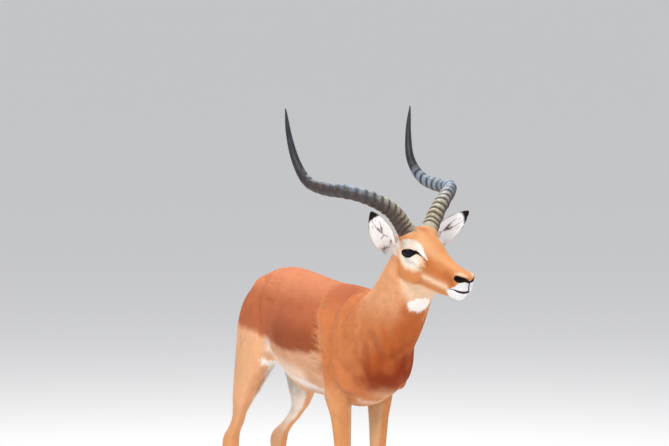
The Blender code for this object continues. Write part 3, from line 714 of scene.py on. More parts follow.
# ridges and grooves: name, path (x, distance from the middle, z), height (below 0 for a groove), width
BODY_FORMS = (
    ("behind the shoulder", ((-0.131, 0.070, 0.870), (-0.116, 0.085, 0.829), (-0.086, 0.100, 0.776),
                             (-0.070, 0.108, 0.713), (-0.072, 0.098, 0.650), (-0.040, 0.095, 0.612)),
     -0.0042, 0.014),
    ("shoulder's edge", ((-0.110, 0.070, 0.860), (-0.090, 0.085, 0.829), (-0.055, 0.100, 0.776),
                         (-0.036, 0.108, 0.713), (-0.038, 0.098, 0.650), (-0.010, 0.095, 0.612)),
     0.0040, 0.016),
    ("neck fold", ((0.190, 0.078, 0.888), (0.156, 0.088, 0.840), (0.136, 0.090, 0.797),
                   (0.134, 0.090, 0.730)), -0.0030, 0.011),
    ("small fold", ((0.150, 0.078, 0.872), (0.126, 0.088, 0.832), (0.112, 0.090, 0.800)), -0.0022, 0.007),
    ("blade's spine", ((0.010, 0.060, 0.880), (0.035, 0.085, 0.800), (0.062, 0.095, 0.720)), 0.0025, 0.016),
    ("jugular groove", ((0.335, 0.045, 0.930), (0.270, 0.070, 0.835), (0.215, 0.070, 0.755)), -0.0035, 0.015),
    ("flank crease", ((-0.432, 0.090, 0.845), (-0.424, 0.108, 0.800), (-0.427, 0.112, 0.753),
                      (-0.446, 0.104, 0.708), (-0.476, 0.092, 0.655)), -0.0060, 0.020),
    ("flank hollow", ((-0.390, 0.080, 0.850), (-0.375, 0.095, 0.815)), -0.0055, 0.042),
    ("hip", ((-0.455, 0.062, 0.875), (-0.462, 0.066, 0.868)), 0.0045, 0.024),
    ("thigh groove", ((-0.585, 0.10, 0.820), (-0.600, 0.12, 0.740), (-0.600, 0.115, 0.660)), -0.0030, 0.015),
    ("stifle", ((-0.490, 0.100, 0.690), (-0.500, 0.105, 0.665)), 0.0040, 0.030),
    ("heel tendon", ((-0.655, 0.095, 0.500), (-0.690, 0.098, 0.440), (-0.722, 0.100, 0.395)), -0.0042, 0.010),
    ("elbow", ((-0.058, 0.080, 0.600), (-0.050, 0.080, 0.590)), 0.0050, 0.018),
    ("forearm groove", ((0.015, 0.090, 0.570), (0.006, 0.086, 0.500), (0.000, 0.082, 0.440)), -0.0018, 0.009),
    ("fore cannon", ((0.000, 0.068, 0.320), (-0.004, 0.066, 0.250), (-0.004, 0.066, 0.140)), -0.0016, 0.0045),
    ("hind cannon", ((-0.735, 0.098, 0.320), (-0.733, 0.098, 0.250), (-0.728, 0.098, 0.150)),
     -0.0016, 0.0045),
    ("breast", ((0.225, 0.050, 0.700), (0.190, 0.055, 0.660)), 0.0030, 0.030),
)
# the same on the head's left, in its own frame
HEAD_FORMS = (
    ("brow", ((-0.022, 0.060, 0.034), (0.002, 0.062, 0.037), (0.024, 0.050, 0.028)), 0.0016, 0.006),
    ("tear hollow", ((0.030, 0.042, 0.000), (0.046, 0.036, -0.006), (0.060, 0.032, -0.012)), -0.0022, 0.007),
    ("cheek ridge", ((-0.020, 0.056, -0.022), (0.020, 0.050, -0.026), (0.060, 0.038, -0.030)), 0.0008, 0.009),
    ("under the cheek", ((-0.010, 0.048, -0.046), (0.040, 0.038, -0.048), (0.085, 0.028, -0.050)),
     -0.0018, 0.010),
    ("jaw's angle", ((-0.050, 0.034, -0.072), (-0.020, 0.032, -0.088)), 0.0025, 0.020),
    ("jaw's edge", ((-0.010, 0.024, -0.098), (0.050, 0.020, -0.094), (0.110, 0.016, -0.082)), 0.0014, 0.008),
    ("nose bone", ((0.060, 0.020, 0.030), (0.110, 0.016, 0.014), (0.150, 0.014, 0.004)), 0.0010, 0.007),
    ("nose side", ((0.080, 0.034, -0.006), (0.130, 0.028, -0.014)), -0.0014, 0.009),
    ("nostril's wing", ((0.150, 0.026, -0.0045), (0.166, 0.024, -0.0020), (0.178, 0.016, -0.0060)),
     0.0018, 0.0045),
    ("below the nostril", ((0.150, 0.027, -0.0200), (0.168, 0.024, -0.0220), (0.178, 0.016, -0.0260)),
     0.0010, 0.0050),
    ("upper lip", ((0.184, 0.004, -0.0405), (0.172, 0.021, -0.0430), (0.145, 0.026, -0.0480)),
     0.0015, 0.0050),
    ("lower lip", ((0.180, 0.004, -0.0560), (0.164, 0.018, -0.0580), (0.140, 0.022, -0.0615)),
     0.0008, 0.0040),
    ("temple", ((-0.052, 0.048, 0.012), (-0.045, 0.050, 0.000)), -0.0025, 0.014),
    ("forehead", ((-0.010, 0.000, 0.058), (0.030, 0.000, 0.044)), -0.0010, 0.014),
)


MIDDLE_X = -0.3     # forelegs stand ahead of it, hind legs behind


def leg_aligned(points):
    """Both sides of the body laid together, the left legs brought level with the right ones."""
    x, y, z = points.T
    slide = np.where(x > MIDDLE_X, fore_shift(z), hind_shift(z))
    return np.c_[x - np.where(y > 0, slide, 0), np.abs(y), z]


def carved(hide):
    """The hide's own shape: muscles, folds, lids, nostrils and mouth."""
    mesh = hide.data
    points, normals = coords(mesh), coords(mesh, "normal")
    q = head_coords(points)
    ears = ear_mask(q)
    points = points - normals * coat_depth(points, q, ears)[:, None]
    lift = np.zeros(len(points))
    body = leg_aligned(points)
    for _, path, height, width in BODY_FORMS:
        near = np.nonzero(np.abs(body - np.mean(path, axis=0)).max(axis=1) < 0.25)[0]
        lift[near] += height * bell(along(body[near], path)[0], width)
    lift[(q[:, 0] > -0.13) & (q[:, 2] > -0.10)] *= 0.3
    face = np.nonzero((q[:, 0] > -0.09) & (q[:, 2] > -0.13) & (ears < 0.05))[0]
    laid = mirrored(q[face])
    for _, path, height, width in HEAD_FORMS:
        lift[face] += height * bell(along(laid, path)[0], width)
    gap, share = along(laid, NOSTRIL)
    lift[face] -= 0.0085 * np.exp(-(gap / np.interp(share, (0, 0.3, 1), (0.0036, 0.0050, 0.0034)))**4)
    lift[face] -= 0.0016 * bell(along(laid, NOSE_V)[0], 0.0024)
    lift[face] -= 0.0022 * bell(along(laid, PHILTRUM)[0], 0.0018)
    gap, share = along(laid, MOUTH)
    width = np.interp(share, (0, 0.4, 1), (0.0034, 0.0026, 0.0016))
    lift[face] -= 0.0048 * (1 - 0.6 * share) * bell(gap, width)
    x, _, z = laid.T
    chin = ramp(0.160, 0.180, x) * ramp(-0.0455, -0.0500, z) * ramp(-0.084, -0.072, z)
    lift[face] -= 0.0055 * chin
    gap, share = along(laid, TEAR)
    lift[face] -= 0.0022 * (1 - 0.5 * share) * bell(gap, 0.0030)
    lift += ear_inside(q) * 0.0006 * (grain(points, 0.006, 5) - 0.5)
    q = with_lids(head_coords(points + normals * lift[:, None]), ears)
    mesh.vertices.foreach_set("co", (moved(q, HEAD_PLACE) + ORIGIN).astype(np.float32).ravel())
    mesh.update()


LID_R = EYE_R + 0.0012      # radius of the lids' edge round the ball's middle
SOCKET_R = EYE_R - 0.0045   # the hide ends there, behind the lids


def with_lids(q, ears):
    """Lays the hide on each eye ball as lids with their folds, and leaves the ball open."""
    for side in (-1, 1):
        r, a, b, centre = eye_angles(q, side)
        near = np.nonzero((r < 0.050) & (np.abs(a) < 1.75) & (ears < 0.02))[0]
        r, a, b = r[near], a[near], b[near]
        above = b > 0
        d = eye_gap(a, b) * EYE_R * 1000        # millimetres from the edge of the opening
        lid = LID_R + 0.0006 * ramp(2, 4, d)
        lid = lid - np.where(above, 0.0010 * bell(d - 5.2, 1.1), 0.0005 * bell(d - 5.6, 1.2))
        lid = lid + np.where(above, 0.0006 * bell(d - 3.2, 1.2), 0.0003 * bell(d - 3.4, 1.4))
        reach = 12.0 + 9.0 * ramp(0.4, 1.0, a) * ramp(0.5, 0.1, b)
        free = np.max([ramp(0, 1, (d - 3.0) / (reach - 3.0)), ramp(1.25, 1.60, np.abs(a)),
                       ramp(0.036, 0.048, r)], axis=0)
        goal = lid + (r - lid) * free
        goal = np.where(d < 1.6, SOCKET_R + (goal - SOCKET_R) * ramp(0.2, 1.6, d), goal)
        q[near] = centre + (q[near] - centre) * (goal / r)[:, None]
    return q


# ---------------------------------------------------------------- markings, and some painted shade and highlight
TONES = {       # red, green and blue from 0 to 255
    "white": (246, 240, 233), "cream": (226, 188, 152), "black": (26, 20, 18), "dark": (58, 40, 34),
    # body
    "saddle": (180, 100, 64), "saddle highlight": (200, 126, 88), "saddle low shade": (146, 72, 40),
    "flank": (216, 164, 130), "flank low": (244, 214, 192), "flank shade": (206, 146, 108),
    "thigh": (228, 172, 130), "thigh inside": (236, 222, 208), "groin crease shade": (70, 48, 40),
    "shoulder": (200, 120, 72), "elbow": (206, 138, 92), "shoulder rim": (222, 158, 112),
    "neck": (222, 158, 114), "nape": (226, 170, 124), "throat": (184, 92, 40), "fold": (222, 156, 108),
    "shaded chest": (136, 50, 20), "lit brisket": (226, 176, 134),
    "shank": (218, 152, 98), "forearm": (210, 142, 86), "forearm inside": (210, 168, 128),
    "shin": (186, 112, 70), "tail": (178, 104, 64), "pastern": (120, 84, 62),
    # head
    "cheek": (198, 128, 78), "face": (214, 158, 112), "bridge": (202, 130, 78), "crown": (176, 104, 62),
    "nose edge": (226, 172, 124), "stripe": (188, 110, 58), "muzzle side": (160, 88, 44),
    "under cheek": (236, 204, 176), "jaw": (238, 204, 172), "eye field": (226, 202, 176),
    "eye field middle": (224, 216, 208), "behind eye": (226, 186, 152), "above eye": (204, 194, 182),
    "brow": (214, 200, 186), "brow front": (232, 226, 218), "smoke": (150, 150, 138),
    "upper lip": (220, 218, 220), "chin": (236, 234, 234), "nose crown highlight": (230, 200, 168),
    "mouth line": (52, 42, 42), "mouth shade": (46, 36, 38), "tear trail": (166, 98, 54),
    "ear back": (206, 142, 98), "ear lining": (244, 240, 238), "ear vein": (104, 62, 56),
    "ear hollow shade": (186, 176, 172), "ear root": (214, 202, 192), "ear foot": (206, 197, 190),
    # eyes, horns and hooves
    "eye": (16, 11, 12), "iris": (34, 20, 14), "pupil": (6, 6, 11), "lid": (10, 8, 9),
    "horn base": (132, 112, 90), "horn middle": (88, 96, 108), "horn tip": (36, 42, 52),
    "horn inside light": (160, 170, 182), "horn shade": (54, 39, 31), "horn worn ridge highlight": (190, 186, 162),
    "horn blue ridge highlight": (128, 146, 166), "hoof": (44, 38, 36), "hoof edge": (96, 82, 72),
}


def tone(name):
    """Linear colour of a named tone."""
    v = np.array(TONES[name]) / 255.0
    return np.where(v <= 0.04045, v / 12.92, ((v + 0.055) / 1.055)**2.4)


class Paint:
    """Colours at many points, laid one over another by their shares."""
    def __init__(self, name, count):
        self.colour = np.tile(tone(name), (count, 1))

    def lay(self, over, share):
        """Lays a named tone, another Paint or plain colours over the ones before."""
        over = tone(over) if isinstance(over, str) else getattr(over, "colour", over)
        self.colour = blend(self.colour, over, share)


# dark lines in the ear: (place across, share along) from 0 at the root to 1 at the tip, width, darkness
EAR_VEINS = (
    (((-0.48, 0.86), (-0.26, 0.70), (-0.06, 0.56), (0.06, 0.50)), 0.060, 0.55),
    (((0.34, 0.74), (0.24, 0.62), (0.10, 0.50)), 0.055, 0.60),
    (((-0.10, 0.60), (0.00, 0.53), (0.10, 0.53), (0.20, 0.60)), 0.090, 0.95),
    (((0.08, 0.50), (0.12, 0.43), (-0.20, 0.36)), 0.045, 0.65),
    (((0.12, 0.43), (0.42, 0.36)), 0.045, 0.60),
    (((0.60, 0.24), (0.52, 0.17)), 0.110, 0.90),
    (((-0.60, 0.72), (-0.50, 0.66)), 0.045, 0.45),
    (((0.02, 0.84), (0.06, 0.78)), 0.045, 0.45),
)
EAR_LONG = 2.6      # an ear's length over its half width
# boundaries of the markings, seen from the side: x, z
SADDLE_EDGE = ((-0.66, 0.742), (-0.607, 0.730), (-0.492, 0.726), (-0.446, 0.706), (-0.336, 0.698),
               (-0.242, 0.696), (-0.137, 0.702), (-0.057, 0.712), (0.04, 0.700))
BELLY_EDGE = ((-0.56, 0.665), (-0.49, 0.644), (-0.40, 0.624), (-0.23, 0.612), (-0.133, 0.602),
              (0.00, 0.598), (0.09, 0.584))
SHOULDER_LINE = ((0.010, 0.590), (-0.020, 0.606), (-0.061, 0.646), (-0.057, 0.713), (-0.076, 0.776),
                 (-0.107, 0.829), (-0.131, 0.880))


def body_colour(points, normals):
    count = len(points)
    x, y, z = points.T
    level = leg_aligned(points)
    lx, ly = level[:, 0], level[:, 1]
    in_front = lx > MIDDLE_X
    rough = grain(points, 0.016, 1) - 0.5
    broad = grain(points, 0.090, 2) - 0.5
    jitter = 0.010 * rough
    inward = -np.sign(y) * normals[:, 1]
    coat = Paint("flank", count)

    # flank and saddle
    low = z - np.interp(lx, *zip(*BELLY_EDGE))
    coat.lay("flank low", ramp(0.065, 0.015, low) * ramp(-0.16, -0.22, lx) * 0.9)
    coat.lay("flank shade", ramp(0.030, 0.055, low) * (1 - ramp(0.060, 0.090, low)) * 0.35)
    coat.lay("thigh", ramp(-0.440, -0.480, lx))
    saddle = ramp(-0.009, 0.011, z - np.interp(lx, *zip(*SADDLE_EDGE)) + jitter)
    coat.lay("saddle", saddle)
    # painted highlight: the saddle lighter along the top of the back
    coat.lay("saddle highlight", saddle * ramp(0.82, 0.88, z) * 0.8)
    # painted shade: the saddle darker low on the barrel
    coat.lay("saddle low shade", saddle * ramp(0.81, 0.735, z) * ramp(-0.40, -0.34, lx) * 0.85)

    # shoulder, neck and chest
    ahead = lx - np.interp(z, column(SHOULDER_LINE, 1), column(SHOULDER_LINE, 0))
    front = ramp(-0.030, 0.024, ahead + jitter)
    streak = grain(points * (1.0, 1.0, 0.35), 0.020, 17) - 0.5
    mantle = Paint("shoulder", count)
    mantle.lay("saddle", ramp(0.80, 0.88, z) * ramp(0.10, -0.02, x))
    mantle.lay("neck", ramp(0.10, 0.26, x + 0.55 * (z - 0.80)) * ramp(0.80, 0.90, z))
    throat = ramp(0.235, 0.300, x - 0.9 * (z - 0.80) + 0.10 * streak)
    mantle.lay("throat", throat * ramp(0.93, 0.84, z) * ramp(0.62, 0.70, z) * 0.85)
    mantle.lay("nape", ramp(0.90, 0.99, z) * ramp(0.26, 0.18, x - 0.9 * (z - 0.90)) * 0.6)
    # the lower chest darker red-brown: partly its own colour, partly painted shade
    mantle.lay("shaded chest", ramp(0.790, 0.665, z + 0.12 * streak) * ramp(0.10, 0.19, x + 0.08 * streak) * 0.95)
    mantle.lay("elbow", ramp(0.66, 0.60, z) * ramp(0.10, 0.04, x))
    coat.lay(mantle, front)
    coat.lay("shoulder rim", bell(ahead + 0.004, 0.007) * ramp(0.90, 0.82, z) * 0.75)
    fold = along(points * (1, 0, 1), ((0.194, 0, 0.890), (0.156, 0, 0.840), (0.140, 0, 0.797)))[0]
    coat.lay("fold", bell(fold - 0.010, 0.006) * front * 0.5)

    # underside
    under = ramp(0.004, -0.004, low + jitter * 0.6) * ramp(-0.60, -0.54, lx)
    under = under * np.where(lx > -0.045, ramp(0.040, 0.028, ly), 1.0) * ramp(0.16, 0.10, lx)
    hind_skin = (lx < -0.50) & (ly > 0.060) & (inward < 0.1)
    coat.lay("white", np.where(hind_skin, 0, under))
    # painted light: the underside at the front of the chest lighter
    coat.lay("lit brisket", ramp(0.10, 0.16, lx) * ramp(0.64, 0.60, z) * ramp(-0.5, -0.9, normals[:, 2]) * 0.8)
    armpit = blob(level, (0.068, 0.050, 0.578), (0.016, 0.014, 0.012))
    coat.lay("white", ramp(1.3, 0.8, armpit + rough * 0.5))

    # legs
    fore = ramp(0.615, 0.560, z) * in_front * ramp(0.125, 0.105, lx)
    leg = np.maximum(fore, ramp(0.640, 0.570, z) * (lx < MIDDLE_X))
    shank = Paint("thigh", count)
    shank.lay("shank", ramp(0.55, 0.30, z))
    shank.lay("forearm", in_front * ramp(0.34, 0.46, z) * 0.8)
    shank.lay("shin", ramp(0.35, 0.75, np.abs(normals[:, 0])) * ramp(0.15, 0.40, z) * 0.35)
    coat.lay(shank, leg)
    inner = ramp(0.25, 0.60, inward + 0.25 * rough)
    coat.lay("forearm inside", inner * fore * ramp(0.30, 0.50, z))
    coat.lay("thigh inside", inner * ramp(-0.30, -0.46, lx) * ramp(0.36, 0.46, z) * ramp(0.70, 0.66, z))
    coat.lay("cream", inner * leg * ramp(0.46, 0.30, z) * 0.6)
    # painted shade in the crease between thigh and belly
    pit = along(level, ((-0.462, 0.088, 0.664), (-0.468, 0.078, 0.630), (-0.476, 0.070, 0.600)))[0]
    coat.lay("groin crease shade", bell(pit, 0.0065) * 0.85)
    pale = along(level, ((-0.452, 0.100, 0.700), (-0.458, 0.092, 0.672)))[0]
    coat.lay("white", bell(pale, 0.012) * 0.65)

    # rump and tail
    tail = (x < -0.690) & (ly < 0.030) & (z < 0.86) | ((x < -0.655) & (ly < 0.026) & (z > 0.80))
    behind = ramp(-0.25, -0.60, normals[:, 0]) * ramp(-0.56, -0.60, lx) * ~tail
    seat = ramp(0.052, 0.044, ly + jitter * 0.4) * ramp(0.60, 0.64, z) * ramp(0.850, 0.825, z)
    coat.lay("white", behind * seat)
    stripe = bell(np.maximum(np.abs(ly - 0.058 - 0.006 * np.sin((z - 0.6) * 12)) - 0.002, 0), 0.0055)
    coat.lay("black", stripe * behind * ramp(0.575, 0.610, z) * ramp(0.815, 0.790, z) * 1.1)
    tail_back = tail * ramp(0.15, -0.15, normals[:, 0])
    coat.lay("white", tail)
    coat.lay("tail", tail_back * ramp(0.68, 0.78, z) * ramp(0.026, 0.014, ly))
    coat.lay("black", tail_back * bell(ly, 0.0050) * ramp(0.56, 0.60, z))

    # black tufts above the hind hooves, dark pasterns
    gland = bell(blob(level, (-0.741, 0.087, 0.135), (1.0, 1.0, 2.1)), 0.020)
    coat.lay("black", ramp(0.35, 0.6, gland))
    coat.lay("pastern", leg * ramp(0.062, 0.040, z) * 0.8)
    wisps = grain(points * (0.45, 1.0, 1.0), 0.009, 23) - 0.5
    return coat.colour * (1 + 0.14 * broad + 0.10 * rough + 0.16 * wisps)[:, None]


# the pale brow from the ear to the tear corner, seen from the side, and its half width along it
BROW = ((-0.040, 0, 0.0220), (-0.026, 0, 0.0270), (-0.010, 0, 0.0270), (0.004, 0, 0.0230),
        (0.014, 0, 0.0175), (0.024, 0, 0.0105), (0.034, 0, 0.0050), (0.042, 0, -0.0005))
BROW_WIDE = (0, 0.2, 0.45, 0.65, 0.85, 1.0), (0.0080, 0.0100, 0.0095, 0.0072, 0.0042, 0.0018)


def face_colour(q, normals):
    x, _, z = q.T
    laid = mirrored(q)
    beside = laid[:, 1]
    lateral = beside > 0.02
    rough = grain(q, 0.007, 3) - 0.5
    from_side = laid * (1, 0, 1)

    def line(*path):
        """Distance, seen from the side, to a path of (x, z)."""
        return along(from_side, [(a, 0, b) for a, b in path])[0]

    coat = Paint("cheek", len(q))
    top = ramp(0.0, 0.55, normals[:, 2]) * ramp(-0.005, 0.015, z - np.interp(x, (0.0, 0.18), (0.010, -0.012)))
    coat.lay("face", top)
    coat.lay("bridge", top * bell(beside, 0.017) * 0.75)
    coat.lay("crown", bell(blob(laid, (-0.035, 0, 0.06)), 0.020) * 0.7)
    edge = along(laid, ((0.000, 0.034, 0.047), (0.060, 0.026, 0.026), (0.120, 0.020, 0.008),
                        (0.165, 0.018, 0.000)))[0]
    coat.lay("nose edge", bell(edge, 0.006) * 0.5)
    stripe = line((0.046, -0.012), (0.070, -0.020), (0.102, -0.028), (0.132, -0.036))
    coat.lay("stripe", bell(stripe, 0.015) * 0.95)
    coat.lay("muzzle side", bell(line((0.110, -0.018), (0.128, -0.024), (0.140, -0.032)), 0.010) * 0.6)
    coat.lay("under cheek", bell(line((0.035, -0.052), (0.075, -0.054), (0.115, -0.054)), 0.010) * 0.75)
    coat.lay("jaw", ramp(-0.076, -0.094, z + 0.004 * rough) * ramp(-0.075, -0.045, x) * 0.85)

    # pale field round the eye, and the brow
    eye = blob(laid, (-0.013, 0.052, -0.017), (0.047, 0.045, 0.029))
    coat.lay("eye field", ramp(1.32, 0.78, eye + 0.30 * rough))
    coat.lay("eye field middle", ramp(1.0, 0.50, eye + 0.20 * rough) * 0.9)
    coat.lay("behind eye", ramp(1.3, 0.7, blob(laid, (-0.052, 0.054, 0.004), (0.014, 0.030, 0.020))) * 0.8)
    above_eye = blob(laid, (-0.018, 0.056, 0.022), (0.026, 0.05, 0.011))
    coat.lay("above eye", bell(above_eye, 0.85) * lateral)
    gap, share = along(from_side, BROW)
    brow = tone("brow") + (tone("brow front") - tone("brow")) * ramp(0.35, 0.60, share)[:, None]
    coat.lay(brow, ramp(1.35, 0.75, gap / np.interp(share, *BROW_WIDE) + 0.25 * rough) * lateral)
    smoke = blob(laid, (-0.040, 0.062, 0.020), (0.018, 0.03, 0.011))
    coat.lay("smoke", bell(smoke, 0.9) * 0.75)

    # muzzle
    over = z - np.interp(x, column(MOUTH, 0)[::-1], column(MOUTH, 2)[::-1])
    high = np.interp(x, (0.118, 0.135, 0.152, 0.164, 0.186), (0.0012, 0.003, 0.009, 0.024, 0.034))
    coat.lay("upper lip", ramp(0.112, 0.130, x) * ramp(-0.001, 0.001, over)
             * ramp(1.15, 0.85, over / high + 0.15 * rough))
    coat.lay("chin", ramp(0.112, 0.126, x + 0.004 * rough) * ramp(0.0, -0.002, over))
    # painted highlight: a cream line along the top of the nostrils
    crown = along(laid, ((0.140, 0.021, -0.0065), (0.158, 0.022, -0.0030), (0.176, 0.013, -0.0010),
                         (0.185, 0.0, -0.003)))[0]
    coat.lay("nose crown highlight", bell(crown, 0.0038) * 0.75)
    nose, share = along(from_side, [(a, 0, c) for a, _, c in NOSTRIL])
    wide = np.interp(share, (0, 0.25, 0.7, 1), (0.0068, 0.0096, 0.0092, 0.0070))
    coat.lay("black", ramp(1.10, 0.92, nose / wide) * ramp(0.006, 0.009, beside))
    tip_end = ramp(0.162, 0.168, x)
    vee = np.abs(z - np.interp(beside, (0, 0.006, 0.0175), (-0.0200, -0.0175, -0.0115)))
    vee = vee / np.interp(beside, (0, 0.006, 0.0175, 0.020), (0.0036, 0.0042, 0.0060, 0.0020))
    coat.lay("black", ramp(1.12, 0.88, vee) * tip_end * ramp(0.021, 0.019, beside))
    coat.lay("black", ramp(0.0025, 0.0017, beside) * tip_end * ramp(-0.017, -0.019, z)
             * ramp(-0.049, -0.047, z))
    gap, share = along(laid, MOUTH)
    wide = np.interp(share, (0, 0.25, 0.5, 0.8, 1), (0.0030, 0.0026, 0.0022, 0.0014, 0.0008))
    coat.lay("mouth line", ramp(1.2, 0.85, gap / wide))
    fall = np.interp(x, (0.128, 0.145, 0.160, 0.172, 0.186), (0.0006, 0.0016, 0.0044, 0.0072, 0.0085))
    coat.lay("mouth shade", ramp(0.0008, -0.0004, over) * ramp(1.15, 0.80, -over / fall)
             * ramp(0.124, 0.130, x))

    # eye rims and the dark tear corner
    coat.lay("black", ramp(3.4, 2.6, eye_distance(q)))
    tear, share = along(from_side, [(a, 0, c) for a, _, c in TEAR])
    wedge = np.interp(share, (0, 0.35, 0.7, 1.0), (0.0050, 0.0036, 0.0022, 0.0008))
    coat.lay("black", ramp(1.15, 0.85, tear / wedge) * lateral)
    trail = line((0.030, 0.000), (0.042, -0.006), (0.054, -0.014))
    coat.lay("tear trail", bell(trail, 0.0042) * lateral * 0.75)
    return coat.colour * (1 + 0.10 * (grain(q, 0.05, 9) - 0.5) + 0.08 * rough)[:, None]


EAR_FOOT = (-0.096, 0.062, -0.019)      # middle of an ear's root on the skull


def head_colour(q, normals):
    """The face, with the ears laid over it."""
    count = len(q)
    head = Paint("cheek", count)
    head.colour = face_colour(q, normals)
    rough = grain(q, 0.007, 3) - 0.5
    wobble = 0.05 * (grain(q, 0.012, 11) - 0.5)
    for side in (-1, 1):
        share, across, ahead = ear_frame(q, side)
        over = across * -side
        mine = ((np.sign(q[:, 1]) == side) & (np.abs(across) < 1.5) & (share > -0.12) & (share < 1.15)
                & (ahead > -0.036) & (ahead < 0.022) & (q[:, 0] < -0.03))
        inside = ear_inside(q) * mine
        lining = Paint("ear lining", count)
        flat = np.c_[over + wobble, share * EAR_LONG]
        for path, wide, dark in EAR_VEINS:
            gap = along(flat, np.array(path) * (1, EAR_LONG))[0]
            lining.lay("ear vein", bell(gap, wide) * dark * (0.6 + 0.8 * grain(q, 0.005, 12)))
        # painted shade: the lining greyer deep in the cup, near the ear's root
        lining.lay("ear hollow shade", ramp(0.26, 0.06, share + 0.15 * rough) * 0.7)
        lining.lay("black", ramp(0.85, 0.91, share + 0.08 * (over < 0) * np.abs(over) + 0.04 * rough))
        lining.lay("black", ramp(-0.86, -0.98, over) * ramp(0.66, 0.74, share))
        ear = Paint("ear back", count)
        ear.lay("dark", ramp(0.66, 0.84, share + 0.1 * rough))
        ear.lay(lining, inside)
        ear.lay("black", ramp(0.84, 0.92, share + 0.05 * rough))
        rim = bell(np.abs(across) - 1.0, 0.10) * ramp(0.2, 0.4, share)
        ear.lay("dark", rim * ramp(0.45, 0.75, share) * 0.35)
        ear.lay("ear root", (1 - inside) * ramp(0.40, 0.18, share) * 0.9)
        on = np.maximum(ramp(0.00, 0.14, share), inside) * mine
        head.lay(ear, on)
        foot = blob(q, sided(EAR_FOOT, side), (1.0, 1.0, 1.25))
        head.lay("ear foot", ramp(0.032, 0.020, foot + 0.010 * rough)
                 * (1 - on * ramp(0.10, 0.20, share)) * 0.9)
    return head.colour


THROAT_PATCH = (0.356, 0.006, 0.878)


def head_side(q):
    """0 on the neck, 1 on the head, with a soft slanting border behind the jaw."""
    return ramp(-0.016, 0.016, (q - (-0.082, 0, -0.020)) @ np.array((0.94, 0, 0.342)))


def above_throat(q):
    return ramp(-0.175, -0.150, q[:, 2])


def coat_colour(points, normals):
    """The impala's markings anywhere on it, with some painted shade and highlight: the same for hide and
    coat.
    """
    q = head_coords(points)
    normals_q = normals @ np.array(HEAD_BACK)[:3, :3].T
    feet = ramp(0.036, 0.024, blob(mirrored(q), EAR_FOOT))
    head = np.max([head_side(q), feet, ear_mask(q)], axis=0) * above_throat(q)
    coat = Paint("white", len(points))
    coat.colour = body_colour(points, normals)
    near = head > 0.001
    coat.colour[near] = blend(coat.colour[near], head_colour(q[near], normals_q[near]), head[near])
    patch = blob(points, THROAT_PATCH, (0.030, 0.036, 0.021)) + 0.35 * (grain(points, 0.006, 4) - 0.5)
    coat.lay("white", ramp(1.15, 0.85, patch) * ramp(-0.105, -0.118, q[:, 2]))
    return np.clip(coat.colour, 0.002, 0.95)


# ---------------------------------------------------------------- how the hair lies
def tail_mask(points):
    return (points[:, 0] < -0.69) & (np.abs(points[:, 1]) < 0.032)


# ways the hair lies, in the animal's frame; only their direction and their weight in a blend count
BACK_LIE, NECK_LIE, CHEST_LIE = (-1.0, 0.0, -0.42), (-0.992, 0.0, -1.36), (-0.25, 0.0, -1.0)
BELLY_LIE, RUMP_LIE = (-1.0, 0.0, -0.25), (-0.42, 0.0, -1.0)


def hair_lie(points, normals):
    """The way the coat lies at each point, along the skin."""
    q = head_coords(points)
    x, y, z = points.T
    lx, ly, _ = leg_aligned(points).T
    lie = np.tile(BACK_LIE, (len(points), 1))
    lie[:, 2] += -0.5 * ramp(0.86, 0.72, z)
    lie = blend(lie, NECK_LIE, ramp(0.06, 0.20, x))
    lie = blend(lie, CHEST_LIE, ramp(0.12, 0.20, x) * ramp(0.80, 0.72, z))
    lie = blend(lie, BELLY_LIE, ramp(0.62, 0.585, z) * ramp(0.06, 0.0, x) * ramp(-0.50, -0.42, x))
    lie = blend(lie, RUMP_LIE, ramp(-0.44, -0.60, x))
    legs = np.maximum(ramp(0.66, 0.58, z) * (lx > MIDDLE_X) * (ly > 0.03), ramp(0.66, 0.60, z) * (lx < -0.46))
    fore = np.interp(z, (0.05, 0.35, 0.42, 0.60), (0.3, 0.0, -0.15, -0.35))
    hind = np.interp(z, (0.05, 0.16, 0.34, 0.40, 0.55, 0.65), (0.3, 0.0, -0.05, -0.45, -0.45, -0.3))
    lie = blend(lie, np.c_[np.where(lx < MIDDLE_X, hind, fore), 0 * x, 0 * x - 1.0], legs)
    parting = 0.5 * np.sign(y) * ramp(0.0, 0.02, np.abs(y))
    lie = np.where(tail_mask(points)[:, None], np.c_[0 * x - 0.1, parting, 0 * x - 1.0], lie)
    lie = blend(lie, face_lie(q) @ HEAD_TURN.T, head_side(q) * above_throat(q))
    for side in (-1, 1):
        share, across, ahead = ear_frame(q, side)
        axis, over, _ = ear_axes(side)
        mine = ((np.sign(q[:, 1]) == side) & (np.abs(across) < 1.4) & (share > 0.0) & (share < 1.15)
                & (ahead > -0.036) & (ahead < 0.02))
        inside = ear_inside(q) * mine
        across = np.clip(across, -1, 1)
        way = axis + (across * (0.35 - 0.9 * inside * ramp(0.35, 0.8, np.abs(across))))[:, None] * over
        lie = np.where((mine * ramp(0.02, 0.15, share))[:, None] > 0.3, way @ HEAD_TURN.T, lie)
    lie = lie - normals * np.sum(lie * normals, axis=1)[:, None]
    weak = np.linalg.norm(lie, axis=1) < 0.05
    lie[weak] = np.cross(normals[weak], (0.0, 1.0, 0.3))
    return unit(lie)


def face_lie(q):
    """Back over the face, aside on the lips and outward round the eyes, in the head's frame."""
    x, y, z = q.T
    up = -0.18 + 0.5 * ramp(0.02, 0.05, z) - 0.4 * ramp(-0.04, -0.08, z)
    face = np.c_[0 * x - 1.0, 0.5 * np.sign(y) * ramp(0.010, 0.040, z) * ramp(0.10, 0.0, x), up]
    face = blend(face, np.c_[0 * x - 0.7, 1.2 * np.sign(y), 0 * x - 0.7], ramp(0.150, 0.175, x))
    for side in (-1, 1):
        rel = q - sided(EYE_AT, side)
        face = face + (1.2 * bell(np.linalg.norm(rel, axis=1) - 0.024, 0.012))[:, None] * unit(rel)
    return face


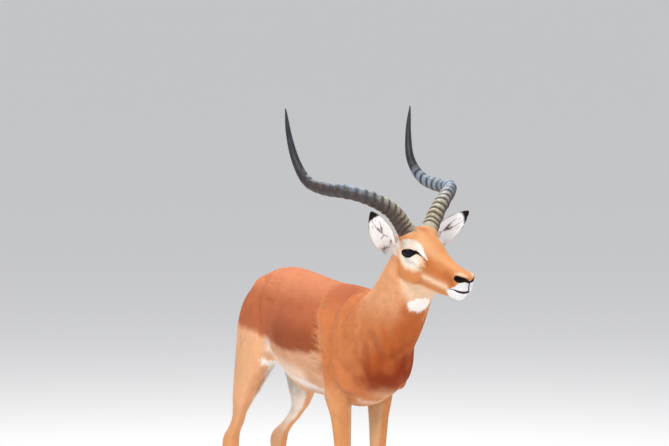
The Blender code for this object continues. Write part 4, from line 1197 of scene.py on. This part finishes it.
# ---------------------------------------------------------------- materials
def noise(tree, place, scale, detail, stretch=None):
    """A noise texture's value, finer along the axes that are stretched."""
    if stretch:
        turn = tree.nodes.new('ShaderNodeMapping')
        turn.inputs["Scale"].default_value = stretch
        tree.links.new(place, turn.inputs["Vector"])
        place = turn.outputs["Vector"]
    grains = tree.nodes.new('ShaderNodeTexNoise')
    grains.inputs["Scale"].default_value = scale
    grains.inputs["Detail"].default_value = detail
    tree.links.new(place, grains.inputs["Vector"])
    return grains.outputs["Fac"]


def material(name, rough, shine, mottling, bump=None):
    """The painted colour, lightened and darkened by fine noise.

    Mottling is the noise's scale, darkest, lightest and detail; bump its scale, stretch, detail,
    strength and distance.
    """
    made = bpy.data.materials.new(name)
    made.use_nodes = True
    tree = made.node_tree
    shader = tree.nodes["Principled BSDF"]
    shader.inputs["Roughness"].default_value = rough
    shader.inputs["Specular IOR Level"].default_value = shine
    place = tree.nodes.new('ShaderNodeTexCoord').outputs["Object"]
    scale, darkest, lightest, detail = mottling
    painted = tree.nodes.new('ShaderNodeAttribute')
    painted.attribute_name = "coat"
    span = tree.nodes.new('ShaderNodeMapRange')
    for socket, value in (("From Min", 0.3), ("From Max", 0.7), ("To Min", darkest), ("To Max", lightest)):
        span.inputs[socket].default_value = value
    tree.links.new(noise(tree, place, scale, detail), span.inputs["Value"])
    mixed = tree.nodes.new('ShaderNodeVectorMath')
    mixed.operation = 'SCALE'
    tree.links.new(painted.outputs["Color"], mixed.inputs[0])
    tree.links.new(span.outputs["Result"], mixed.inputs["Scale"])
    tree.links.new(mixed.outputs["Vector"], shader.inputs["Base Color"])
    if bump:
        scale, stretch, detail, strength, distance = bump
        bumps = tree.nodes.new('ShaderNodeBump')
        bumps.inputs["Strength"].default_value = strength
        bumps.inputs["Distance"].default_value = distance
        tree.links.new(noise(tree, place, scale, detail, stretch), bumps.inputs["Height"])
        tree.links.new(bumps.outputs["Normal"], shader.inputs["Normal"])
    return made


HIDE_LOOK = material("hide", 0.78, 0.10, (260.0, 0.92, 1.06, 3.0), (900.0, (1, 1, 1), 4.0, 0.4, 0.0004))
COAT_LOOK = material("coat", 0.60, 0.14, (140.0, 0.95, 1.05, 3.0))
LID_LOOK = material("lid_leather", 0.70, 0.06, (900.0, 0.8, 1.3, 3.0), (1800.0, (1, 1, 1), 4.0, 0.2, 0.0003))
EYE_LOOK = material("eye_wet", 0.07, 0.18, (300.0, 0.9, 1.1, 3.0))
HORN_LOOK = material("horn_keratin", 0.50, 0.45, (150.0, 0.72, 1.28, 6.0),
                     (420.0, (1, 1, 1), 8.0, 0.45, 0.0008))
HOOF_LOOK = material("hoof_horn", 0.46, 0.5, (220.0, 0.75, 1.3, 5.0), (300.0, (1, 1, 6), 5.0, 0.4, 0.0006))


# ---------------------------------------------------------------- coat
UNWRAP_TRIS = 9000          # of the coarse copy that the coat is unwrapped by
PATCH = 0.003               # side of a tuft's patch on the unwrap
TUFT_TILT = 0.10            # how much of a tuft's own roundness shows in its shading
TUFT_THICK = 0.24           # a tuft's height over its width
ROOT_DEPTH = 0.0006         # a tuft starts this far below the hide
PIECE_LIMIT = 195000        # triangles in one piece of the coat
LONG_TUFT = 0.0185          # tufts longer than this bend


def unwrap_of(hide):
    """Corners, their places on a map laid out by angle, and a search tree, of a coarse copy of the hide."""
    proxy = at_home("unwrap", hide.data.copy())
    less = proxy.modifiers.new("reduce", 'DECIMATE')
    less.ratio = UNWRAP_TRIS / (2 * len(proxy.data.polygons))
    applied(proxy)
    for other in bpy.context.selected_objects:
        other.select_set(False)
    bpy.context.view_layer.objects.active = proxy
    proxy.select_set(True)
    bpy.ops.object.mode_set(mode='EDIT')
    bpy.ops.mesh.select_all(action='SELECT')
    bpy.ops.uv.smart_project(angle_limit=math.radians(70), island_margin=0.002)
    bpy.ops.object.mode_set(mode='OBJECT')
    mesh = proxy.data
    points, tris, loops = coords(mesh), triangles(mesh), triangles(mesh, "loops")
    uv = np.empty(len(mesh.loops) * 2)
    mesh.uv_layers.active.uv.foreach_get("vector", uv)
    found = points[tris], uv.reshape(-1, 2)[loops], BVHTree.FromPolygons(points.tolist(), tris.tolist())
    bpy.data.objects.remove(proxy, do_unlink=True)
    return found


def root_uv(points, unwrap):
    """Each point's place on the map, from the nearest triangle of the unwrapped copy."""
    corners, uvs, tree = unwrap
    hits = [tree.find_nearest(p) for p in (points + ORIGIN).tolist()]
    face = [hit[2] for hit in hits]
    a, b, c = corners[face].transpose(1, 0, 2)
    ab, ac, ap = b - a, c - a, np.array([hit[0][:] for hit in hits]) - a
    d00, d01, d11 = (ab * ab).sum(1), (ab * ac).sum(1), (ac * ac).sum(1)
    d20, d21 = (ap * ab).sum(1), (ap * ac).sum(1)
    under = np.maximum(d00 * d11 - d01 * d01, 1e-18)
    v, w = (d11 * d20 - d01 * d21) / under, (d00 * d21 - d01 * d20) / under
    return (uvs[face] * np.c_[1 - v - w, v, w][:, :, None]).sum(axis=1)


def tuft_mesh(name, tufts, bent):
    """Closed three-sided tapering tufts, one or two lengths each, joined in one mesh."""
    count = len(tufts.root)
    across = np.cross(tufts.normal, tufts.lie)
    rows = [(0.0, 1.0)] + [(0.52, 0.80)] * bent         # share of the length, share of the girth
    per = 3 * len(rows) + 1
    verts = np.empty((count, per, 3))
    for k, (share, girth) in enumerate(rows):
        height = tufts.lift if k else np.full(count, -ROOT_DEPTH)
        middle = tufts.root + (tufts.tip - tufts.root) * share + tufts.normal * height[:, None]
        beside = across * (tufts.width * girth / 2)[:, None]
        verts[:, 3 * k] = middle + beside
        verts[:, 3 * k + 1] = middle + tufts.normal * (TUFT_THICK * tufts.width * girth)[:, None]
        verts[:, 3 * k + 2] = middle - beside
    verts[:, -1] = tufts.tip + tufts.tip_normal * (tufts.lift * (0.75 if bent else 1.0))[:, None]
    around = ((0, 1), (1, 2), (2, 0))
    tris = [(0, 2, 1)]
    for k in range(len(rows) - 1):
        for a, b in around:
            tris += [(3 * k + a, 3 * k + b, 3 * k + 3 + b), (3 * k + a, 3 * k + 3 + b, 3 * k + 3 + a)]
    tris += [(per - 4 + a, per - 4 + b, per - 1) for a, b in around]
    faces = (np.array(tris)[None] + per * np.arange(count)[:, None, None]).reshape(-1, 3)
    mesh = bpy.data.meshes.new(name)
    mesh.vertices.add(count * per)
    mesh.vertices.foreach_set("co", (verts + ORIGIN).astype(np.float32).ravel())
    mesh.loops.add(faces.size)
    mesh.loops.foreach_set("vertex_index", faces.astype(np.int32).ravel())
    mesh.polygons.add(len(faces))
    mesh.polygons.foreach_set("loop_start", np.arange(0, faces.size, 3, dtype=np.int32))
    mesh.update(calc_edges=True)
    mesh.polygons.foreach_set("use_smooth", [True] * len(faces))
    # the shading follows the hide, so that the coat looks sleek
    sideways = np.array([1.0, 0.0, -1.0] * len(rows) + [0.0]) * TUFT_TILT
    facing = tufts.normal[:, None, :] + sideways[None, :, None] * across[:, None, :]
    facing[:, -1] = tufts.tip_normal
    layer = mesh.attributes.new("custom_normal", 'FLOAT_VECTOR', 'POINT')
    layer.data.foreach_set("vector", unit(facing).astype(np.float32).ravel())
    shade = np.array([0.93] * 3 + [1.0] * 3 * bent + [1.04])
    paint(mesh, np.clip(tufts.colour[:, None, :] * shade[None, :, None], 0.001, 0.97).reshape(-1, 3))
    spread = np.array([(0.9, 0.1), (0.5, 0.2), (0.1, 0.1)] + [(0.8, 0.5), (0.5, 0.6), (0.2, 0.5)] * bent
                      + [(0.5, 0.9)])
    spots = (tufts.uv[:, None, :] + (spread[None] - 0.5) * PATCH).reshape(-1, 2)
    layer = mesh.uv_layers.new(name="OFBake")
    layer.uv.foreach_set("vector", spots[faces.ravel()].astype(np.float32).ravel())
    return at_home(name, mesh)


def coat_sizes(points, normals):
    """Length, width, lift and number per square metre of the tufts at each point."""
    q = head_coords(points)
    x, y, z = points.T
    lx = leg_aligned(points)[:, 0]
    heights = (0.06, 0.34, 0.50, 0.64)
    body_long = np.interp(z, heights, (0.0060, 0.0070, 0.0100, 0.0140))
    body_cover = np.interp(z, heights, (0.75, 0.85, 1.15, 1.50))
    gap = eye_distance(q)
    head = ramp(-0.12, -0.04, q[:, 0]) * ramp(-0.17, -0.13, q[:, 2])
    face_long = np.interp(q[:, 0], (-0.12, 0.0, 0.10, 0.18), (0.0090, 0.0048, 0.0038, 0.0024))
    face_long = np.minimum(face_long, np.interp(gap, (4, 16), (0.0028, 0.0060)))
    on_ear = ear_mask(q) > 0.05
    long = np.where(on_ear, 0.0036, body_long * (1 - head) + face_long * head)
    cover = np.where(on_ear, 0.7, body_cover * (1 - head) + 0.85 * head)
    # longer hair on the throat patch, the groin, the belly's edge and the tail
    patch = ramp(1.1, 0.7, blob(points, THROAT_PATCH, (0.032, 0.038, 0.024)))
    inward = ramp(0.0, 0.4, -np.sign(y) * normals[:, 1])
    groin = ramp(-0.34, -0.46, lx) * ramp(0.50, 0.56, z) * ramp(0.69, 0.64, z) * inward
    belly = ramp(-0.5, -0.8, normals[:, 2]) * (z > 0.54) * (x < 0.02) * (x > -0.56)
    tail = tail_mask(points) * np.interp(z, (0.52, 0.66, 0.80), (0.016, 0.014, 0.002))
    longer = np.max([patch * 0.001, groin * 0.012, belly * 0.005, tail], axis=0)
    long = long + longer
    stand = 0.034 + 0.07 * ramp(0.003, 0.008, longer)
    wide = np.clip(long * 0.105, 0.00070, 0.0017)
    # none on the lids, the nose and the mouth, and fewer in the ears
    laid = mirrored(q)
    bare = gap < 3.2
    for path, reach in ((NOSTRIL, 0.0055), (PHILTRUM, 0.003), (NOSE_V, 0.004), (MOUTH, 0.0030)):
        bare |= along(laid, path)[0] < reach
    number = cover / (long * wide * 0.5)
    number = np.where(ear_inside(q) > 0.5, number * 0.5, number)
    return long, wide, stand, np.where(bare, 0.0, number)


def scattered(corners, tris, number):
    """Triangle and place of roots, spread evenly by the wanted number per square metre."""
    a, b, c = corners[tris].transpose(1, 0, 2)
    area = np.linalg.norm(np.cross(b - a, c - a), axis=1) / 2
    total = np.cumsum(area * number[tris].min(axis=1) * COAT_SHARE)
    count = int(total[-1])
    pick = np.searchsorted(total, (np.arange(count) + RNG.random(count)) * (total[-1] / count))
    pick = np.minimum(pick, len(tris) - 1)
    u, v = RNG.random(count), RNG.random(count)
    flip = u + v > 1
    u, v = np.where(flip, 1 - u, u), np.where(flip, 1 - v, v)
    return pick, np.c_[1 - u - v, u, v]


class Tufts:
    """Arrays with one entry for each tuft."""
    def __init__(self, **arrays):
        self.__dict__.update(arrays)

    def only(self, chosen):
        return Tufts(**{name: values[chosen] for name, values in self.__dict__.items()})


def grown(hide):
    """The tufts of the whole coat, lying on the hide."""
    mesh = hide.data
    tris = triangles(mesh)
    points, normals = coords(mesh) - ORIGIN, coords(mesh, "normal")
    long, wide, stand, number = coat_sizes(points, normals)
    pick, share = scattered(points, tris, number)

    def between(values):
        picked = values[tris[pick]]
        return (picked * (share if values.ndim == 1 else share[:, :, None])).sum(axis=1)

    root, normal = between(points), unit(between(normals))
    lie = hair_lie(root, normal)
    swerve = RNG.normal(0.0, 0.09, len(root))
    lie = lie * np.cos(swerve)[:, None] + np.cross(normal, lie) * np.sin(swerve)[:, None]
    length = between(long) * RNG.uniform(0.78, 1.18, len(root))
    width = between(wide) * RNG.uniform(0.8, 1.2, len(root))
    lift = length * between(stand) * RNG.uniform(0.6, 1.4, len(root))
    tree = BVHTree.FromPolygons(points.tolist(), tris.tolist())
    hits = [tree.find_nearest(spot) for spot in (root + lie * length[:, None]).tolist()]
    tufts = Tufts(root=root, normal=normal, lie=lie, length=length, width=width, lift=lift,
                  tip=np.array([hit[0][:] for hit in hits]),
                  tip_normal=unit(normals[tris[[hit[2] for hit in hits]]].sum(axis=1)))
    # a tuft whose tip lies round a sharp edge would cross it
    tufts = tufts.only((tufts.normal * tufts.tip_normal).sum(axis=1) > 0.45)
    tufts.colour = coat_colour(tufts.root + tufts.lie * (0.3 * tufts.length)[:, None], tufts.normal)
    tufts.colour *= RNG.uniform(0.91, 1.08, len(tufts.root))[:, None]
    return tufts


def grow_coat(hide, unwrap):
    tufts = grown(hide)
    tufts.uv = root_uv(tufts.root, unwrap)
    q = head_coords(tufts.root)
    x, _, z = tufts.root.T
    face = (q[:, 0] > -0.10) & (q[:, 2] > -0.12) | (ear_mask(q) > 0.3)
    shaggy = (tufts.length > LONG_TUFT) & ~face
    low = (z < 0.40) & ~face & ~shaggy
    rest = ~face & ~shaggy & ~low
    for name, chosen in (("coat_head", face), ("coat_feet", low), ("coat_long", shaggy),
                         ("coat_neck", rest & (x > 0.10)),
                         ("coat_shoulders", rest & (x <= 0.10) & (x > -0.14)),
                         ("coat_barrel", rest & (x <= -0.14) & (x > -0.42)),
                         ("coat_hindquarters", rest & (x <= -0.42))):
        bent = name == "coat_long"
        index = np.nonzero(chosen)[0]
        parts = max(1, math.ceil(len(index) / (PIECE_LIMIT // (10 if bent else 4))))
        for k, part in enumerate(np.array_split(index, parts)):
            piece = tuft_mesh(name if parts == 1 else "%s_%d" % (name, k + 1), tufts.only(part), bent)
            finished(piece, COAT_LOOK)


# ---------------------------------------------------------------- eyes, horns, hooves
EYE_ROUND, EYE_ROWS = 56, 40        # points round the eye ball, rings over it
# section of a lid's rim: millimetres out from the edge of the opening, height over the eye ball
LID_PROFILE = ((-0.9, -0.0014), (-0.9, 0.0002), (-0.3, 0.0009), (0.6, 0.0013), (1.6, 0.0014), (2.6, 0.0011),
               (3.0, 0.0002), (2.2, -0.0020), (0.4, -0.0026))


def make_eye(side, tag):
    centre = sided(EYE_AT, side)
    out, ahead, up = eye_axes(side)
    a = circle(EYE_ROUND)
    rings = []
    for t in np.linspace(0.02, math.pi - 0.02, EYE_ROWS):
        cornea = 1 + 0.035 * math.exp(-(t / 0.55)**2)
        ring = math.cos(t) * out[None] + math.sin(t) * (np.outer(np.cos(a), ahead) + np.outer(np.sin(a), up))
        rings.append(centre + (EYE_R - 0.0002) * cornea * ring)
    verts, faces = stack(rings)
    if side > 0:
        faces = [face[::-1] for face in faces]      # both balls' faces point inward
    ball = placed("eye_ball_" + tag, moved(verts, HEAD_PLACE), faces, turn=False)
    a, b = (verts - centre) @ ahead / EYE_R, (verts - centre) @ up / EYE_R
    colours = Paint("eye", len(verts))
    colours.lay("iris", ramp(0.95, 0.65, np.hypot(a, b)) * ramp(0.2, -0.4, b))
    colours.lay("pupil", ramp(1.25, 0.9, np.hypot(a / 0.50, b / 0.26)))
    paint(ball.data, colours.colour)
    finished(ball, EYE_LOOK, ["eye_" + tag])

    # a leathery rim round the opening, its outer edge under the hide
    closed = eye_edge()
    tangent = unit(np.roll(closed, -1, axis=0) - np.roll(closed, 1, axis=0))
    outward = np.c_[tangent[:, 1], -tangent[:, 0]]
    outward *= np.sign((outward * closed).sum(axis=1))[:, None]
    for _ in range(4):
        outward = outward * 0.5 + (np.roll(outward, 1, axis=0) + np.roll(outward, -1, axis=0)) * 0.25
    outward = unit(outward)
    rings = []
    for off, height in LID_PROFILE:
        a, b = (closed + outward * (off / (EYE_R * 1000))).T
        ring = (np.outer(np.cos(b) * np.cos(a), out) + np.outer(np.cos(b) * np.sin(a), ahead)
                + np.outer(np.sin(b), up))
        rings.append(centre + (EYE_R + height) * ring)
    rows, count = len(rings), len(closed)
    faces = []
    for i in range(rows):
        faces += band(i * count, (i + 1) % rows * count, count)
    verts = np.array(rings).reshape(-1, 3)
    lids = placed("eye_lids_" + tag, moved(verts, HEAD_PLACE), faces)
    paint(lids.data, Paint("lid", len(verts)).colour)
    finished(lids, LID_LOOK)


RIDGES_END = 0.72                   # share of the horn's length where its ridges end
HORN_ROUND = 48                     # points round a horn
# shares of its length with a ring of points, close together where it is ridged
HORN_RINGS = np.r_[np.linspace(0.0, 0.74, 300), np.linspace(0.743, 0.999, 40)]
HORN_ROOT = 0.042                   # how deep a sheath reaches into the head
HORN_FRONT = (0.75, 0.0, 0.66)      # way that the ridges' high side faces, in the head's frame
HORN_LIT = math.radians(60)         # how far the lit side of a sheath, with painted highlight on its worn ridges, turns inward from its front


def ridge_places(length):
    """Shares along a horn where its ridges stand: closer together at the root."""
    places, at = [], 0.004
    while at < RIDGES_END * length:
        places.append(at / length)
        at += np.interp(at / length, (0.0, 0.10, 0.28, RIDGES_END), (0.0125, 0.0165, 0.0260, 0.0285))
    return np.array(places)


def ridges(t, a, side, places):
    """Height of the ridges round a horn at share t, from 0 to 1, and their number there."""
    slanted = t - 0.012 * np.cos(a + 0.4 * side) + 0.0025 * np.sin(3 * a + 23 * t)
    number = np.interp(slanted, places, np.arange(len(places)))
    wave = 0.5 + 0.5 * np.cos(2 * np.pi * (number - 0.10 * np.sin(2 * np.pi * number)))
    return wave**1.7, number.mean()


def horn_colour(spot, t, a, side, crest, fade):
    """Straw and dark brown at the root, slate further up; worn ridges paler, with painted highlight on the
    lit side and painted shade in the grooves and on the outer side.
    """
    count = len(a)
    cloud = grain(spot, 0.022, 31) - 0.5
    coat = Paint("horn base", count)
    coat.lay("horn middle", ramp(0.06, 0.26, t + 0.10 * cloud))
    coat.lay("horn tip", np.full(count, ramp(0.34, 0.66, t)))
    worn = crest * np.clip(fade * 1.6, 0, 1)
    # the side of a sheath turned towards the light, which gets painted light
    front = np.clip(0.1 + 1.1 * np.cos(a + side * HORN_LIT), 0, 1)
    outer = side * np.sin(a)
    # the crests lighter, most on the lit side: their wear and a painted highlight; random mottling over all
    coat.colour = coat.colour * (0.52 + 0.30 * worn * (0.3 + 0.7 * front) + 0.9 * cloud)[:, None]
    # painted light: the inner side of a sheath's middle lighter and bluer
    coat.lay("horn inside light", np.clip(-outer, 0, 1) * worn * np.clip((t - 0.14) / 0.12, 0, 1)
             * np.clip((0.74 - t) / 0.1, 0, 1) * 0.35)
    # painted shade: darker in the grooves between ridges and on the outer side away from the light, with
    # random mottling
    hollow = 0.45 * (1 - worn) + 0.80 * np.clip(outer, 0, 1) * (1 - 0.8 * front) + 0.8 * cloud
    coat.lay("horn shade", np.clip(hollow, 0, 0.9) * np.clip((0.80 - t) / 0.3, 0, 1))
    # pale worn ridges at the root, lightened further by painted highlight on the lit side
    coat.lay("horn worn ridge highlight", 0.65 * worn**2 * front * np.clip((0.34 - t) / 0.16, 0, 1))
    # painted highlight: blue-grey on the lit ridges of the middle
    coat.lay("horn blue ridge highlight", 0.55 * worn * front * np.clip((t - 0.22) / 0.1, 0, 1)
             * np.clip((0.72 - t) / 0.1, 0, 1))
    return coat.colour


def make_horn(side, tag):
    """A ringed sheath: bold ridges in front over the lower two thirds, then a smooth point."""
    path = flowing(HORN_AXIS, 24)
    path[:, 1] *= side
    starts = np.r_[0, np.cumsum(np.linalg.norm(np.diff(path, axis=0), axis=1))]
    places = ridge_places(starts[-1])
    a = circle(HORN_ROUND)

    def on_axis(t):
        return np.array([np.interp(t, starts / starts[-1], path[:, c]) for c in range(3)])

    rings, colours = [], []
    for t in HORN_RINGS:
        at = on_axis(t)
        ahead = unit(on_axis(min(1, t + 0.012)) - on_axis(max(0, t - 0.012)))
        out = unit(HORN_FRONT - ahead * np.dot(HORN_FRONT, ahead))
        beside = np.cross(ahead, out)
        crest, number = ridges(t, a, side, places)
        fade = np.clip((0.73 - t) / 0.16, 0, 1)
        uneven = 0.85 + 0.30 * np.sin(number * 2.4)
        tall = 0.175 * fade * (0.30 + 0.70 * (0.5 + 0.5 * np.cos(a))) * uneven
        flute = 0.010 * np.sin(11 * a + 5 * t) * np.clip(1.1 - t, 0, 1)
        r = np.interp(t, *zip(*HORN_GIRTH)) * (0.945 + 0.025 * (1 - fade) + tall * crest + flute)
        rings.append(at + np.outer(1.06 * r * np.cos(a), out) + np.outer(0.95 * r * np.sin(a), beside))
        spot = at + np.outer(r * np.cos(a), out) + np.outer(r * np.sin(a), beside)
        colours.append(horn_colour(spot, t, a, side, crest, fade))
    rings.insert(0, rings[0] - HORN_ROOT * unit(path[1] - path[0]))
    colours.insert(0, colours[0])
    verts, faces = stack(rings)
    place = HEAD_PLACE @ Matrix.Rotation(HORN_TILT, 4, 'X')
    horn = placed("horn_sheath_" + tag, moved(verts, place), faces)
    paint(horn.data, np.clip(np.concatenate(colours), 0.004, 0.9))
    finished(horn, HORN_LOOK, ["horn_" + tag])


CLAW_ROUND = 36                     # points round a claw
# rows of a claw that only the scene has, over the coronet and round the edge of the sole
CLAW_TOP = (0.0420, 0.0205, -0.0205, 0.0075)
SOLE_ROUND, SOLE_Z = 0.0008, 0.0009


def make_claw(where, side, tag, inner, label):
    foot, shift = {"fore": (FORE_FOOT, fore_shift), "hind": (HIND_FOOT, hind_shift)}[where]
    middle = (foot[0] + (shift(0.03) if side > 0 else 0.0), side * foot[1] + inner * CLAW_APART)
    _, sole_toe, sole_heel, sole_half = CLAW[-1]
    rows = flowing((CLAW_TOP,) + CLAW, 7)
    rows = np.r_[rows[rows[:, 0] > 0.0004],
                 [(SOLE_Z, sole_toe, sole_heel, sole_half),
                  (0.0, sole_toe - SOLE_ROUND, sole_heel + SOLE_ROUND, sole_half - SOLE_ROUND)]]
    a = circle(CLAW_ROUND)
    c, s = np.cos(a), np.sin(a)
    rings, shades = [], []
    for z, toe, heel, half in rows:
        ripple = 1 + 0.012 * math.sin(z * 1700.0) * (z > 0.003)
        x = np.where(c > 0, toe * c, -heel * c) * ripple
        y = half * np.sign(s) * np.abs(s)**np.where(c > 0, 1.25, 0.8) * ripple
        y = np.where(s * inner < 0, y * 0.92, y) - inner * 0.004 * np.clip(c, 0, 1)**2
        rings.append(np.c_[middle[0] + x, middle[1] + y, np.full(CLAW_ROUND, z)])
        shade = Paint("hoof", CLAW_ROUND)
        shade.lay("hoof edge", np.full(CLAW_ROUND, 0.6 * max(0.0, 1 - z / 0.006)))
        shades.append(shade.colour)
    name = "%s_%s_%s" % (where, tag, label)
    claw = placed("claw_" + name, *stack(rings))
    paint(claw.data, np.concatenate(shades))
    finished(claw, HOOF_LOOK, ["hoof_" + name])


# ---------------------------------------------------------------- stage
FLOOR_COLOUR, FLOOR_ROUGH = (0.80, 0.79, 0.77, 1), 0.9
SKY_COLOUR, SKY_STRENGTH = (0.93, 0.95, 1.0, 1), 0.72
LIT_AT = Vector((0.0, 0.0, 0.75))       # the lamps face this point
LAMPS = (   # name, place, width, watts, colour
    ("key", (3.2, -3.6, 4.6), 2.2, 235.0, (1.0, 0.97, 0.92)),
    ("top", (-1.6, 0.6, 4.4), 3.0, 150.0, (0.97, 0.98, 1.0)),
    ("fill", (4.4, 3.0, 2.0), 3.0, 50.0, (0.96, 0.98, 1.0)),
)
# the photo's camera, round the withers from the animal's right, and the way it looks
CAMERA_FROM, CAMERA_AWAY, CAMERA_HIGH = math.radians(65.0), 10.6, 1.93
CAMERA_YAW, CAMERA_PITCH = math.radians(65.430), math.radians(4.6124)
CAMERA_LENS = 204.484


def make_stage():
    bpy.ops.mesh.primitive_plane_add(size=600.0, location=(0, 0, -0.0004))
    floor = bpy.context.object
    floor.name = "floor"
    look = bpy.data.materials.new("floor_pale")
    look.use_nodes = True
    shader = look.node_tree.nodes["Principled BSDF"]
    shader.inputs["Base Color"].default_value = FLOOR_COLOUR
    shader.inputs["Roughness"].default_value = FLOOR_ROUGH
    floor.data.materials.append(look)
    world = bpy.context.scene.world or bpy.data.worlds.new("studio")
    bpy.context.scene.world = world
    world.use_nodes = True
    sky = world.node_tree.nodes["Background"]
    sky.inputs["Color"].default_value = SKY_COLOUR
    sky.inputs["Strength"].default_value = SKY_STRENGTH
    for name, at, size, power, colour in LAMPS:
        data = bpy.data.lights.new(name, 'AREA')
        data.shape, data.size, data.energy, data.color = 'DISK', size, power, colour
        lamp = at_home(name, data)
        lamp.location = at
        lamp.rotation_mode = 'QUATERNION'
        lamp.rotation_quaternion = (LIT_AT - Vector(at)).to_track_quat('-Z', 'Y')


def make_camera():
    data = bpy.data.cameras.new("camera")
    data.sensor_width = 36.0
    data.lens = CAMERA_LENS
    data.clip_end = 1000.0
    camera = at_home("camera", data)
    camera.rotation_mode = 'XYZ'
    camera.location = (ORIGIN[0] + CAMERA_AWAY * math.sin(CAMERA_FROM),
                       ORIGIN[1] - CAMERA_AWAY * math.cos(CAMERA_FROM), CAMERA_HIGH)
    camera.rotation_euler = (math.pi / 2 - CAMERA_PITCH, 0.0, CAMERA_YAW)
    bpy.context.scene.camera = camera


def make_hide():
    hide = fused()
    refined(hide)
    carved(hide)
    paint(hide.data, coat_colour(coords(hide.data) - ORIGIN, coords(hide.data, "normal")) * 0.95)
    hide.data.polygons.foreach_set("use_smooth", [True] * len(hide.data.polygons))
    flesh = ["trunk", "neck", "head", "tail"]
    flesh += [part + side for part in ("foreleg_", "hindleg_", "ear_") for side in ("right", "left")]
    finished(hide, HIDE_LOOK, flesh)
    return hide


def build():
    make_camera()
    make_stage()
    hide = make_hide()
    grow_coat(hide, unwrap_of(hide))
    for side, tag in ((-1, "right"), (1, "left")):
        make_eye(side, tag)
        make_horn(side, tag)
        for where in ("fore", "hind"):
            for inner, label in ((-side, "inner"), (side, "outer")):
                make_claw(where, side, tag, inner, label)


build()
bpy.context.scene.view_settings.view_transform = 'Standard'
bpy.context.view_layer.update()
